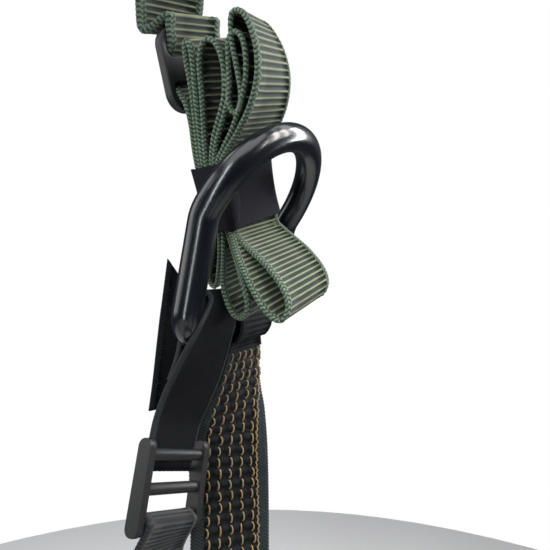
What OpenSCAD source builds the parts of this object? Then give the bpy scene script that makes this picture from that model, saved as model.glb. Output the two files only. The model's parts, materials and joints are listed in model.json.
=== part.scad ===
// Tree climbing saddle: padded waist belt, two leg loops, hip D-rings on adjustable
// side straps, and a rope bridge that hangs the saddle from a swivel.
// The wearer faces -Y and the wearer's left is +X. The origin is the centre of the swivel's eye.

/* [Waist] */
// Half of the waist opening, side to side
waist_a = 163; // [150:1:185]
// Half of the waist opening, front to back
waist_b = 113; // [105:1:130]
// Height of the back pad
pad_h = 92; // [70:1:110]
// Thickness of the back pad
pad_t = 11; // [8:0.5:14]
// Thickness of the mesh lining inside the pad
lining_t = 1; // [0.8:0.1:2]
// Width of the belt webbing
belt_w = 45; // [40:1:50]
// Height of the belt's centre line above the D-ring bars
belt_up = 186; // [184:1:215]

/* [Hips] */
// Distance of each D-ring bar from the middle of the saddle
hip_x = 190; // [188:1:205]
// Diameter of the D-ring's bar
d_bar = 10; // [8:0.5:11]
// Width of the D-ring between bar centres
d_w = 61; // [56:1:70]
// Radius of the D-ring's lower corners
d_corner = 8.9; // [7:0.1:12]
// Height of the bend above the straight bar
d_bend_up = 41.3; // [36:0.1:50]
// Angle of the bend
d_bend = 23.2; // [0:0.1:35]
// Straight length above the bend
d_upper = 3.5; // [3.2:0.1:10]
// Lean of the D-ring's lower arms from upright
d_lean = 12.1; // [0:0.1:20]
// Turn of the straight bar from the side-to-side line
d_turn = 25.7; // [15:0.1:35]

/* [Webbing] */
// Width of the green side webbing and the leg straps
strap_w = 25; // [20:1:28]
// Thickness of a strap
strap_t = 2; // [1.2:0.1:3]
// Width of the lower hip strap
hip_strap_w = 30; // [25:1:34]
// Clearance between a strap's loop and the bar inside it
loop_gap = 0.3; // [0.2:0.05:0.6]

/* [Legs] */
// Half of a leg loop's opening, side to side
leg_a = 72; // [62:1:76]
// Half of a leg loop's opening, front to back
leg_b = 88; // [76:1:100]
// Height of a leg pad
leg_h = 54; // [40:1:64]
// Thickness of a leg pad
leg_t = 10; // [7:0.5:12]
// Distance of each leg loop's centre from the middle
leg_x = 92; // [90:1:104]
// Depth of the leg loops' centres below the D-ring bars
leg_down = 205; // [195:1:240]
// Raise of a leg loop's outer side, in degrees
leg_tilt = 16; // [5:1:22]

/* [Buckles] */
// Length of a buckle's socket
socket_l = 34; // [30:1:42]
// Thickness of a buckle's socket
socket_t = 12; // [11:0.5:15]
// Half of the tongue's width
tongue_half = 12; // [10:0.5:14]
// Thickness of the tongue
tongue_t = 4; // [3:0.1:5]
// Running clearance inside a buckle
run_gap = 0.3; // [0.2:0.05:0.5]
// Travel of a release tab
tab_travel = 2.5; // [1.5:0.1:3]

/* [Bridge] */
// Diameter of the bridge rope
rope_d = 11; // [9:0.5:12]
// Radius of the swivel eye's bore
eye_r = 15; // [12:0.5:18]
// Wall around the swivel eye's bore
eye_wall = 8; // [6:0.5:10]
// Thickness of the swivel's eye and ring
eye_t = 14; // [10:0.5:16]
// Radius of the hole that the rope runs through
rope_hole_r = 14; // [13:0.5:18]
// Radius of the swivel's stem
stem_r = 5; // [4:0.25:6]
// Diameter of the suspension links' bar
link_bar = 8; // [6:0.5:9]

/* [Hidden] */
$fn = 48;

green = [0.22, 0.28, 0.15];
black = [0.05, 0.05, 0.06];
tan = [0.45, 0.36, 0.22];
metal = [0.09, 0.09, 0.1];

// The swivel's eye, seen from the middle point between the two D-ring bars
eye_at = [0, -215, 300];
layer_gap = 0.3;
belt_a = waist_a + pad_t + layer_gap;
belt_b = waist_b + pad_t + layer_gap;
// The belt webbing is curved up to this angle on each side of the front, then straight
belt_open = 62;
belt_outer_a = belt_a + strap_t;
belt_outer_b = belt_b + strap_t;
front_y = -belt_outer_b * sin(belt_open);
front_x = belt_outer_a * cos(belt_open);
leg_outer_a = leg_a + leg_t + layer_gap;
leg_outer_b = leg_b + leg_t + layer_gap;
leg_open = 52;
leg_front_y = -leg_outer_b * sin(leg_open);
leg_front_x = leg_outer_a * cos(leg_open);
socket_w = belt_w + 9;
tab_l = 14;
tab_t = 7;
tab_in = socket_w / 2 - 8;
sleeve_r = d_bar / 2 + loop_gap + strap_t;
link_w = 29;
link_h = 44;
link_corner = 5;

// ---- shared shapes

module worn() translate(-eye_at) children();

module on_side(side) {
    if (side == "left") mirror([1, 0, 0]) children();
    else children();
}

// Right D-ring bar: x points at the wearer's middle, y to the rear
module at_hip(side) worn() on_side(side) translate([-hip_x, 0, 0]) children();

module at_bar(side) at_hip(side) rotate([0, 0, 180 - d_turn]) children();

// The folded tail: x across its folds, y down its length, z across the webbing
bundle_at = [-1.6, 3.4, 50.4];
bundle_turn = [-75.4, 0, 46.6];
module at_bundle(side) at_hip(side) translate(bundle_at) rotate(bundle_turn) children();

module at_leg(side) worn() on_side(side)
    translate([-leg_x, leg_y, -leg_down]) rotate([0, leg_tilt, 0]) children();

module plate(l, w, t, r) linear_extrude(t, center = true) plate_outline(l, w, r);

module plate_outline(l, w, r) {
    square([l - 2 * r, w], center = true);
    square([l, w - 2 * r], center = true);
    for (x = [-1, 1], y = [-1, 1])
        translate([x * (l / 2 - r), y * (w / 2 - r)]) circle(r);
}

function arc(a, b, from, to, n) =
    [for (i = [0:n]) let (t = from + (to - from) * i / n) [a * cos(t), b * sin(t)]];
function backward(list) = [for (i = [len(list) - 1:-1:0]) list[i]];

// Upright band that follows an oval, between two angles
module band(a, b, t, h, from, to, n = 40) linear_extrude(h, center = true)
    polygon(concat(arc(a, b, from, to, n), backward(arc(a + t, b + t, from, to, n))));

// Tube round the z axis
module tube(r_in, r_out, h) difference() {
    cylinder(r = r_out, h = h, center = true);
    cylinder(r = r_in, h = h + 2, center = true);
}

function unit(v) = v / norm(v);
function heading(list, i) = unit(list[min(i + 1, len(list) - 1)] - list[max(i - 1, 0)]);
function mean_line(one, two) = [for (i = [0:len(one) - 1]) (one[i] + two[i]) / 2];
function strap_normal(one, two, i) =
    unit(cross(heading(mean_line(one, two), i), two[i] - one[i]));
function strap_corners(one, two, t) = [for (i = [0:len(one) - 1])
    let (n = strap_normal(one, two, i) * t / 2)
    each [one[i] - n, one[i] + n, two[i] + n, two[i] - n]];
// Faces of a solid swept through rings of k points
function swept_faces(rings, k) = concat(
    [[for (j = [0:k - 1]) k - 1 - j]],
    [for (i = [0:rings - 2], j = [0:k - 1]) let (p = i * k + j, q = i * k + (j + 1) % k)
        each [[p, q, q + k], [p, q + k, p + k]]],
    [[for (j = [0:k - 1]) (rings - 1) * k + j]]);

// Flat strap between two edges that run side by side
module strap(one, two, t = strap_t)
    polyhedron(strap_corners(one, two, t), swept_faces(len(one), 4), convexity = 6);

function swept_round(list, r, k) = [for (i = [0:len(list) - 1])
    let (d = heading(list, i), side = unit(cross([0, 1, 0.2], d)), up = cross(d, side))
    for (j = [0:k - 1]) list[i] + r * (cos(360 * j / k) * side - sin(360 * j / k) * up)];

module round_cord(list, r, k = 8)
    polyhedron(swept_round(list, r, k), swept_faces(len(list), k), convexity = 6);

// Bar bent round an arc that starts at +x and turns towards +y
module bend(r_bar, r_arc, angle)
    rotate_extrude(angle = angle) translate([r_arc, 0]) circle(r_bar);

// A point on the outside of the belt, from the middle point of the D-ring bars
function on_belt(t, h, out) =
    [(belt_outer_a + out) * cos(t), (belt_outer_b + out) * sin(t), belt_up + h];
// A point on the outside of the right leg loop
leg_y = 8;
function on_leg(t, h, out) =
    let (x = (leg_outer_a + strap_t + out) * cos(t), y = (leg_outer_b + strap_t + out) * sin(t))
    [x * cos(leg_tilt) + h * sin(leg_tilt) - leg_x, y + leg_y,
        h * cos(leg_tilt) - x * sin(leg_tilt) - leg_down];
hip_at = [hip_x, 0, 0];

// ---- waist belt

module at_belt() worn() translate([0, 0, belt_up]) children();

module back_pad() color(black) at_belt()
    band(waist_a + lining_t, waist_b + lining_t, pad_t - lining_t, pad_h, -38, 218);

module pad_lining() color([0.12, 0.12, 0.13]) at_belt()
    band(waist_a, waist_b, lining_t - 0.05, pad_h - 12, -38, 218);

module belt_webbing() color(green) at_belt()
    band(belt_a, belt_b, strap_t, belt_w, -belt_open, 180 + belt_open, 56);

// Straight front strap, sewn to the belt at one end and held by the socket
module belt_strap_right() color(green) at_belt()
    translate([-(front_x + socket_l) / 2 - 3, front_y - strap_t / 2 - 0.2, 0])
        cube([front_x - socket_l + 1.5, strap_t, belt_w], center = true);

// How far the tongue's head reaches from the middle of the buckle
tongue_head = 22;
belt_tail_l = 88;
belt_tail_y = front_y - 1.5 * strap_t - 1.5;
module belt_strap_left() color(green) at_belt()
    translate([tongue_head + 0.3 + belt_tail_l / 2, belt_tail_y, 0])
        cube([belt_tail_l, strap_t, belt_w], center = true);

// Loop on the end of a belt: the moving strap slides through its front slot, at y = moving_y,
// and the fixed webbing ends in its back slot, at y = fixed_y
loop_wall = 3;
module slide_loop(moving_y, fixed_y, fixed_h = strap_t + 2) {
    front = moving_y - strap_t / 2 - loop_wall;
    back = fixed_y + fixed_h / 2 + loop_wall;
    difference() {
        translate([0, (front + back) / 2, 0]) rotate([90, 0, 0])
            plate(8, belt_w + 4 * loop_wall, back - front, 3.5);
        translate([0, moving_y, 0])
            cube([20, strap_t + 2 * run_gap, belt_w + 2], center = true);
        translate([0, fixed_y, 0]) cube([20, fixed_h, belt_w + 2], center = true);
    }
}
module belt_adjuster() color(metal) at_belt_buckle()
    translate([front_x - 4, 0, 0]) slide_loop(belt_tail_y - front_y + 2.5, 3);

// Elastic loop that lies round the end of the front strap
module belt_keeper() color(black) at_belt() translate([58, belt_tail_y, 0]) difference() {
    cube([16, strap_t + 2.6, belt_w + 4], center = true);
    cube([20, strap_t + 2 * run_gap, belt_w + 2 * run_gap], center = true);
}

// ---- quick-connect buckle: x along the strap, y through its thickness, z across it

module buckle_socket() difference() {
    translate([-socket_l / 2 - 2, 0, 0]) rotate([90, 0, 0])
        plate(socket_l, socket_w, socket_t, 6);
    translate([-15, 0, 0])
        cube([30, tongue_t + 2 * run_gap, 2 * (tongue_half + run_gap)], center = true);
    translate([1 - socket_l, 0, 0]) cube([4, 30, belt_w + 1], center = true);
    for (s = [-1, 1]) translate([-15, 0, s * socket_w / 2])
        cube([tab_l + 2 * run_gap, tab_t + 2 * run_gap, 2 * (8 + tab_travel + run_gap)],
            center = true);
}

module buckle_tongue() difference() {
    union() {
        translate([-12, 0, 0]) rotate([90, 0, 0])
            plate(26, 2 * tongue_half, tongue_t, 4);
        translate([tongue_head / 2 - 0.5, 0, 0]) rotate([90, 0, 0])
            plate(tongue_head + 1, socket_w, tongue_t + 4, 6);
    }
    for (x = [6, 14]) translate([x, 0, 0]) cube([4, 30, belt_w + 1], center = true);
    for (s = [-1, 1]) translate([-15, 0, s * (tongue_half - 1)]) cube([5, 30, 5], center = true);
}

module buckle_tab(s) translate([-15, 0, s * (tab_in + 5)]) rotate([90, 0, 0])
    plate(tab_l, 10, tab_t, 2);

module at_belt_buckle() at_belt() translate([0, front_y - 2.5, 0]) children();
module belt_socket() color(metal) at_belt_buckle() buckle_socket();
module belt_tongue() color(metal) at_belt_buckle() buckle_tongue();
module belt_tab_upper() color([0.3, 0.3, 0.31]) at_belt_buckle() buckle_tab(1);
module belt_tab_lower() color([0.3, 0.3, 0.31]) at_belt_buckle() buckle_tab(-1);

// ---- gear loops

gear_bar = 7;
gear_w = 52;
gear_drop = 34;
module gear_loop() {
    for (s = [-1, 1]) {
        translate([s * gear_w / 2, 0, gear_drop / 2 + 4])
            cylinder(d = gear_bar, h = gear_drop, center = true);
        translate([s * (gear_w / 2 - 10), 0, 4]) rotate([90, 0, 0])
            rotate([0, 0, s > 0 ? 270 : 180]) bend(gear_bar / 2, 10, 90);
    }
    translate([0, 0, -6]) rotate([0, 90, 0])
        cylinder(d = gear_bar, h = gear_w - 20, center = true);
}

module gear_loops() color(black) at_belt()
    for (t = [22, 62, 118, 158])
        translate([(belt_outer_a + 6) * cos(t), (belt_outer_b + 6) * sin(t), -50])
            rotate([0, 0, atan2(sin(t) / belt_outer_b, cos(t) / belt_outer_a) + 90])
                gear_loop();

// ---- swivel and rope bridge

ring_z = -(eye_r + eye_wall + 39);
washer_t = 1.5;
boss_top = ring_z + rope_hole_r + 18;
washer_z = boss_top + washer_t / 2 + 0.05;
collar_bottom = washer_z + washer_t / 2 + 0.05;

module swivel_eye() color(metal) {
    rotate([0, 90, 0]) tube(eye_r, eye_r + eye_wall, eye_t);
    difference() {
        translate([0, 0, collar_bottom]) cylinder(r = 9, h = -eye_r - 4 - collar_bottom);
        rotate([0, 90, 0]) cylinder(r = eye_r + 1, h = 40, center = true);
    }
    translate([0, 0, ring_z + rope_hole_r - 7.5]) cylinder(r = stem_r, h = 31);
}

module swivel_nut() color([0.5, 0.5, 0.52]) translate([0, 0, ring_z + rope_hole_r - 5.5])
    tube(stem_r, 8, 4);

module swivel_washer() color([0.6, 0.5, 0.3]) translate([0, 0, washer_z])
    tube(stem_r + 0.1, 9, washer_t);

ring_bar = 13;
module bridge_ring() color(metal) difference() {
    union() {
        translate([0, 0, ring_z]) rotate([0, 90, 0]) rotate_extrude()
            translate([rope_hole_r + ring_bar / 2, 0]) circle(d = ring_bar);
        translate([0, 0, ring_z + rope_hole_r + 1])
            cylinder(r = 10.5, h = boss_top - ring_z - rope_hole_r - 1);
    }
    translate([0, 0, ring_z]) cylinder(r = stem_r + 0.05, h = 60);
}

// Rope route from the bridge ring to the left link, from the middle point of the D-ring bars
rope_half = [[0, -215, 229.8], [10, -214.5, 227.6], [19, -212.5, 221], [27, -208, 212],
    [38, -200, 198], [50, -191, 182], [63, -181, 165], [76, -171, 148], [89, -161, 131],
    [102, -150.5, 114], [112, -141.5, 99], [119, -133, 86.5], [122.5, -124.5, 77],
    [121.5, -117, 71], [118, -109.5, 68], [111.7, -98.7, 67], [109, -94, 67]];
function other_side(list) = [for (i = [len(list) - 1:-1:1]) [-list[i].x, list[i].y, list[i].z]];
module bridge_rope() color([0.7, 0.25, 0.1]) worn()
    round_cord(concat(other_side(rope_half), rope_half), rope_d / 2);

// The right link hangs below this place on the belt
link_angle = 231;
link_z = 67;
link_at = [on_belt(link_angle, 0, 1.3).x, on_belt(link_angle, 0, 1.3).y, link_z];
link_face = 30;
knot_r = 13.5;
knot_l = 16;
knot_back = link_bar / 2 + 1.5;
// Stopper knot behind each link
module bridge_knots() color([0.7, 0.25, 0.1]) for (side = ["right", "left"])
    at_link(side) translate([0, knot_back + knot_l / 2, 0]) rotate([90, 0, 0])
        cylinder(r = knot_r, h = knot_l, center = true);

// ---- suspension links: the rope runs through them, and straps hold them above and below

module at_link(side) worn() on_side(side) translate(link_at)
    rotate([0, 0, -link_face]) children();

module link(side) color(metal) at_link(side) {
    for (s = [-1, 1]) {
        translate([0, 0, s * (link_h / 2)]) rotate([0, 90, 0])
            cylinder(d = link_bar, h = link_w - 2 * link_corner, center = true);
        translate([s * (link_w / 2), 0, 0])
            cylinder(d = link_bar, h = link_h - 2 * link_corner, center = true);
    }
    for (x = [-1, 1], z = [-1, 1])
        translate([x * (link_w / 2 - link_corner), 0, z * (link_h / 2 - link_corner)])
            rotate([90, 0, 0]) rotate([0, 0, x > 0 ? (z > 0 ? 0 : 270) : (z > 0 ? 90 : 180)])
                bend(link_bar / 2, link_corner, 90);
}

// Loops round the link's bars, with a strap up to the belt and a strap down to the leg loop
link_loop_w = link_w - 2 * link_corner - 0.8;
link_loop_r = link_bar / 2 + loop_gap + strap_t;
link_strap_up = belt_up + belt_w / 2 - 2 - link_z - link_h / 2 - link_loop_r;
// Upper ends of the strap that goes down to the leg loop, beside the link's lower bar
link_foot = link_z - link_h / 2 - link_loop_r - 0.1;
module link_straps(side) color(black) {
    at_link(side) for (s = [-1, 1])
        translate([0, 0, s * link_h / 2]) rotate([0, 90, 0])
            tube(link_bar / 2 + loop_gap, link_loop_r, link_loop_w);
    at_link(side) translate([0, 0, link_h / 2 + link_loop_r + link_strap_up / 2])
        cube([link_loop_w, strap_t, link_strap_up], center = true);
    worn() on_side(side) strap(
        [[link_at.x + 8, link_at.y - 4.6, link_foot], [-106, -102, 20], [-122, -87, -60],
            [-142, -72, -130], on_leg(226, 24, 1.5), on_leg(226, -20, 1.5)],
        [[link_at.x - 8, link_at.y + 4.6, link_foot], [-122.5, -92.5, 20], [-138, -76, -60],
            [-156, -57, -130], on_leg(214, 24, 1.5), on_leg(214, -20, 1.5)]);
}

// ---- hip: green riser, its adjuster and the folded tail

// From the adjuster's upper bar up to the belt, then flat against it
riser_top = belt_w / 2 - 1.5;
module riser(side) color(green) at_hip(side) strap(
    [[11, -31, 107], [13, -32, 117], [16, -32.5, 130],
        hip_at + on_belt(194.5, -48, 2.2), hip_at + on_belt(194.5, -20, 2.2),
        hip_at + on_belt(194.5, riser_top, 2.2)],
    [[-6, -14, 113], [-5, -11, 121], [4, -9, 132],
        hip_at + on_belt(183.4, -46, 2.2), hip_at + on_belt(183.4, -20, 2.2),
        hip_at + on_belt(183.4, riser_top, 2.2)]);

// Three-bar slide that the green webbing is threaded through
adj_l = 30;
adj_slot = 5;
adj_at = [-10.6, -48];
module adjuster(side) color(black) at_bundle(side) translate([adj_at.x, adj_at.y, 0])
    rotate([0, 90, 0]) difference() {
        plate(strap_w + 6, adj_l, 4, 7);
        for (y = [-1, 1]) translate([0, y * 7, 0])
            plate(strap_w + 1, adj_slot, 10, 2);
    }

// Folded webbing: three hanging loops, a waist inside the elastic, and a fan above it
tail_waist = 12;
function fold(centre, r, from, to) = [for (p = arc(r, r, from, to, 10)) p + centre];
module tail_outline() polygon(concat(
    fold([1, -58], 7, 180, 360), fold([16.5, -58], 7.5, 180, 360),
    [[23, -34], [13, -26], [6.3, -12], [6.3, 11.5]],
    [[28.6, 37.1], [28, 43.6], [22.6, 46.4], [17, 43], [14.7, 37.5]],
    [[8.2, 42.8], [1.7, 37.6], [-0.4, 26]],
    [[-1, 32], [-7, 33.8], [-13, 32], [-8.3, 11], [-8.3, -12]]));
module tail_bundle(side) color(green) at_bundle(side)
    linear_extrude(strap_w, center = true) tail_outline();

module tail_keeper(side) color(black) at_bundle(side) translate([-1, -0.5, 0]) difference() {
    cube([16.4, 2 * tail_waist - 1, strap_w + 1.8], center = true);
    cube([14.9, 40, strap_w + 0.3], center = true);
}

// ---- hip D-ring and the straps on its bar

module d_ring(side) color(metal) at_bar(side) rotate([d_lean, 0, 0]) {
    elbow_r = 14;
    elbow = elbow_r * tan(d_bend / 2);
    rotate([0, 90, 0]) cylinder(d = d_bar, h = d_w - 2 * d_corner, center = true);
    for (s = [-1, 1]) {
        translate([s * (d_w / 2 - d_corner), 0, d_corner]) rotate([90, 0, 0])
            rotate([0, 0, s > 0 ? 270 : 180]) bend(d_bar / 2, d_corner, 90);
        translate([s * d_w / 2, 0, d_corner])
            cylinder(d = d_bar, h = d_bend_up - elbow - d_corner);
        translate([s * d_w / 2, -elbow_r, d_bend_up - elbow]) rotate([90, 0, 90])
            bend(d_bar / 2, elbow_r, d_bend);
        translate([0, 0, d_bend_up]) rotate([d_bend, 0, 0])
            translate([s * d_w / 2, 0, elbow]) cylinder(d = d_bar, h = d_upper - elbow);
    }
    translate([0, 0, d_bend_up]) rotate([d_bend, 0, 0]) translate([0, 0, d_upper])
        rotate([90, 0, 0]) bend(d_bar / 2, d_w / 2, 180);
}

bar_half = d_w / 2 - d_corner;
// Ribbed sleeve that closes the hip strap round the outer half of the bar
module bar_sleeve(side) color(black) at_bar(side) translate([bar_half / 2 + 0.7, 0, 0])
    rotate([0, 90, 0]) tube(d_bar / 2 + loop_gap, sleeve_r, bar_half);

// Lower hip strap: hangs from the sleeve and turns to lie flat against the leg loop
hip_strap_t = 2.6;
module hip_strap(side) color(tan) at_hip(side) strap(
    [[-1.3, -1, -9.5], [-1, -3, -18], [-0.6, -7, -29], [-0.2, -11, -38], [0, -14, -51],
        [3, -15.5, -80], [12, -15.5, -120], [20, -15.5, -148],
        hip_at + on_leg(193, 24, 2.9), hip_at + on_leg(193, -20, 2.9)],
    [[-20, 10, -9.5], [-18, 9.8, -19], [-16.5, 10.8, -28], [-14.5, 12.6, -37], [-10.8, 14, -54],
        [-6, 14.5, -80], [8, 14.5, -120], [18, 14.5, -148],
        hip_at + on_leg(176, 24, 2.9), hip_at + on_leg(176, -20, 2.9)], hip_strap_t);

// Leg strap: a tall loop round the inner half of the bar, down to the leg adjuster
loop_rise = 7.5;
loop_lean = 14;
module leg_strap(side) color(black) {
    at_bar(side) rotate([loop_lean, 0, 0])
        translate([-bar_half / 2 - 1.2, 0, 0]) rotate([0, 90, 0])
            linear_extrude(bar_half - 1, center = true) difference() {
                loop_outline(sleeve_r);
                loop_outline(d_bar / 2 + loop_gap);
            }
    at_hip(side) strap(
        [[20.5, -14.5, 0.8 - sleeve_r], [22.8, -15.4, -9], [23.5, -18.5, -14.5], [24.5, -22.5, -23],
            [25.5, -24.6, -33.5]],
        [[0.2, -3, -0.2 - sleeve_r], [1.3, -2.5, -11], [2.7, -4.6, -19.3], [4.8, -8.6, -29],
            [6.5, -13.2, -41.5]], 3.2);
}
module loop_outline(r) {
    circle(r);
    translate([-loop_rise, 0]) circle(r);
    translate([-loop_rise / 2, 0]) square([loop_rise, 2 * r], center = true);
}

// Ladder slide under the leg strap: two rails with three bars between them
slide_at = [16.4, -18.3, -43.5];
slide_turn = [-6, 20, 148];
slide_l = 30;
slide_rail = 3;
slide_bars = [0, -11, -22];
module at_slide(side) at_hip(side) translate(slide_at) rotate(slide_turn) children();
module leg_adjuster(side) color(black) at_slide(side) {
    for (s = [-1, 1]) translate([s * (strap_w + 0.8 + slide_rail) / 2, 0, 5 - slide_l / 2])
        rotate([0, 90, 0]) plate(slide_l, 5.5, slide_rail, 2.7);
    for (z = slide_bars) translate([0, 0, z]) rotate([0, 90, 0])
        cylinder(d = 4, h = strap_w + 2, center = true);
}

// Free end of the leg strap, cut at an angle, and the strap from the slide to the leg loop
module leg_tail(side) color(black) at_hip(side) {
    strap([[-7.5, -26, 26], [-6, -29, 2], [-4, -30, -10], [0, -30.5, -22], [4, -31, -32]],
        [[-18, -8, -4], [-17.6, -9, -8], [-17, -10, -14], [-15, -11, -23], [-13, -13, -32]]);
    strap([[27, -34, -71], [27, -37, -90], [28, -42, -120], [30, -44, -148],
            hip_at + on_leg(211, 24, 2.1), hip_at + on_leg(211, -20, 2.1)],
        [[7, -20, -76], [10, -19, -92], [16, -20, -120], [20, -20.5, -148],
            hip_at + on_leg(197, 24, 2.1), hip_at + on_leg(197, -20, 2.1)]);
}

// ---- leg loops

module leg_pad(side) color(black) at_leg(side)
    band(leg_a, leg_b, leg_t, leg_h, -30, 210);

module leg_webbing(side) color(green) at_leg(side) {
    band(leg_outer_a, leg_outer_b, strap_t, belt_w, -leg_open, 180 + leg_open, 48);
    translate([(leg_front_x + socket_l) / 2 + 3, leg_front_y - strap_t / 2 - 0.2, 0])
        cube([leg_front_x - socket_l + 1.5, strap_t, belt_w], center = true);
}

module at_leg_buckle(side) at_leg(side) translate([0, leg_front_y - 2.5, 0])
    mirror([1, 0, 0]) children();
module leg_socket(side) color(metal) at_leg_buckle(side) buckle_socket();
module leg_tongue(side) color(metal) at_leg_buckle(side) buckle_tongue();
module leg_tab_upper(side) color([0.3, 0.3, 0.31]) at_leg_buckle(side) buckle_tab(1);
module leg_tab_lower(side) color([0.3, 0.3, 0.31]) at_leg_buckle(side) buckle_tab(-1);

// Strap that the leg buckle's tongue draws through a loop on the end of the leg webbing
leg_tail_l = 46;
leg_tail_y = -3;
module leg_front_strap(side) color(green) at_leg_buckle(side)
    translate([tongue_head + 0.3 + leg_tail_l / 2, leg_tail_y, 0])
        cube([leg_tail_l, strap_t, belt_w], center = true);

module leg_front_loop(side) color(metal) at_leg_buckle(side)
    translate([leg_front_x - 0.2, 0, 0]) slide_loop(leg_tail_y, 4.4, 8);

// ---- rear risers

module rear_risers() color(black) for (side = ["right", "left"]) worn() on_side(side) strap(
    [on_belt(113.4, 20, 1.3), on_belt(113.4, -22, 1.3), on_belt(113.4, -60, 1.3),
        [-82, 119, 0], [-98, 116, -120], on_leg(97, 24, 2.7), on_leg(97, -20, 2.7)],
    [on_belt(104.8, 20, 1.3), on_belt(104.8, -22, 1.3), on_belt(104.8, -60, 1.3),
        [-58, 121, 0], [-74, 117, -124], on_leg(82, 24, 2.7), on_leg(82, -20, 2.7)]);

back_pad();
pad_lining();
belt_webbing();
belt_strap_right();
belt_strap_left();
belt_adjuster();
belt_keeper();
belt_socket();
belt_tongue();
belt_tab_upper();
belt_tab_lower();
gear_loops();
swivel_eye();
swivel_nut();
swivel_washer();
bridge_ring();
bridge_rope();
bridge_knots();
riser("right");  // riser_right
riser("left");  // riser_left
adjuster("right");  // adjuster_right
adjuster("left");  // adjuster_left
tail_bundle("right");  // tail_bundle_right
tail_bundle("left");  // tail_bundle_left
tail_keeper("right");  // tail_keeper_right
tail_keeper("left");  // tail_keeper_left
d_ring("right");  // d_ring_right
d_ring("left");  // d_ring_left
bar_sleeve("right");  // bar_sleeve_right
bar_sleeve("left");  // bar_sleeve_left
hip_strap("right");  // hip_strap_right
hip_strap("left");  // hip_strap_left
leg_strap("right");  // leg_strap_right
leg_strap("left");  // leg_strap_left
leg_adjuster("right");  // leg_adjuster_right
leg_adjuster("left");  // leg_adjuster_left
leg_tail("right");  // leg_tail_right
leg_tail("left");  // leg_tail_left
link("right");  // link_right
link("left");  // link_left
link_straps("right");  // link_straps_right
link_straps("left");  // link_straps_left
leg_pad("right");  // leg_pad_right
leg_pad("left");  // leg_pad_left
leg_webbing("right");  // leg_webbing_right
leg_webbing("left");  // leg_webbing_left
leg_socket("right");  // leg_socket_right
leg_socket("left");  // leg_socket_left
leg_tongue("right");  // leg_tongue_right
leg_tongue("left");  // leg_tongue_left
leg_tab_upper("right");  // leg_tab_upper_right
leg_tab_lower("right");  // leg_tab_lower_right
leg_tab_upper("left");  // leg_tab_upper_left
leg_tab_lower("left");  // leg_tab_lower_left
leg_front_strap("right");  // leg_front_strap_right
leg_front_loop("right");  // leg_front_loop_right
leg_front_strap("left");  // leg_front_strap_left
leg_front_loop("left");  // leg_front_loop_left
rear_risers();
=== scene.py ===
import json
import math

import bpy
import numpy as np
from mathutils import Euler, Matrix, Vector


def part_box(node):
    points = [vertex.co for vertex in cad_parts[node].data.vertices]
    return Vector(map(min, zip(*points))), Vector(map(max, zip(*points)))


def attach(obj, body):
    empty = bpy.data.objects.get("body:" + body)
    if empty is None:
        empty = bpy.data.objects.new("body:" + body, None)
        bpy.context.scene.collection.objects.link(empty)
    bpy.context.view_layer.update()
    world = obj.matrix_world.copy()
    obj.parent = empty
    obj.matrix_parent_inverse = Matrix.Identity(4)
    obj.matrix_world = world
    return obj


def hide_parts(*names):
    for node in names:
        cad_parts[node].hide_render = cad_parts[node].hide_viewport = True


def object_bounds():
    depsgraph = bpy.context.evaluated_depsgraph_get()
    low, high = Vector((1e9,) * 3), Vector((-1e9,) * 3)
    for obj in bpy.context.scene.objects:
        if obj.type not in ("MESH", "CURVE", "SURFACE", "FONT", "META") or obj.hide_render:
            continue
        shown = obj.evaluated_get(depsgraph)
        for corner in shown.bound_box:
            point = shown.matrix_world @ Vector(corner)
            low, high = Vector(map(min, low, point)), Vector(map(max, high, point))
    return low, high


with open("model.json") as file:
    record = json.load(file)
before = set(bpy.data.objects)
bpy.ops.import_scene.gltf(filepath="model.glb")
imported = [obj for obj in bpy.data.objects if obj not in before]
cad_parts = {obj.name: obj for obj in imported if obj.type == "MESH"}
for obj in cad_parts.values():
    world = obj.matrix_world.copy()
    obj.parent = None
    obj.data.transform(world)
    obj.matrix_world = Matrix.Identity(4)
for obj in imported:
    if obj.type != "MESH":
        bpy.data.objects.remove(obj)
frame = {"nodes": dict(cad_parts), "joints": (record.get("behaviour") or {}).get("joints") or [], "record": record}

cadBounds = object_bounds()
mm = 0.001
sides = ("right", "left")
jointAt = {j["name"]: np.array(j["pos_m"]) for j in frame["joints"] if j.get("pos_m")}
jointAxis = {j["name"]: j["axis"] for j in frame["joints"]}
hipAt = {side: jointAt["d_ring_" + side + "_hinge"] for side in sides}

# camera, at the middle of the saddle, looking out at the right hip

cameraLook = {"fromHip": (184.66, 17.03, 26.15), "pitchDown": 2.03, "lens": 31.46}
camera = bpy.data.objects.new("camera", bpy.data.cameras.new("camera"))
bpy.context.scene.collection.objects.link(camera)
camera.data.lens = cameraLook["lens"]
camera.data.sensor_width = 36
camera.data.clip_start = 0.01
camera.location = Vector(hipAt["right"]) + Vector(cameraLook["fromHip"]) * mm
camera.rotation_euler = (math.radians(90 - cameraLook["pitchDown"]), 0, math.radians(90))
bpy.context.scene.camera = camera
print("camera placed")

# places on the saddle, in metres in the CAD's frame


def mirrored(side):
    return 1 if side == "right" else -1


def atHip(side, points):
    # points in mm from the middle of the D-ring's straight bar: x inboard, y rearward, z up
    points = np.array(points, float).reshape(-1, 3) * mm
    return hipAt[side] + points * (mirrored(side), 1, 1)


def axesFromAngles(tiltX, turnZ):
    # the folded tail's axes: across its folds, down its length, across the webbing
    a, b = math.radians(tiltX), math.radians(turnZ)
    across = np.array((math.cos(b), math.sin(b), 0))
    down = np.array((-math.sin(b) * math.cos(a), math.cos(b) * math.cos(a), math.sin(a)))
    return across, down, np.cross(across, down)


bundlePlace = {"at": (-1.6, 3.4, 50.4), "tiltX": -75.4, "turnZ": 46.6}
bundleAxes = axesFromAngles(bundlePlace["tiltX"], bundlePlace["turnZ"])


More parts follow.
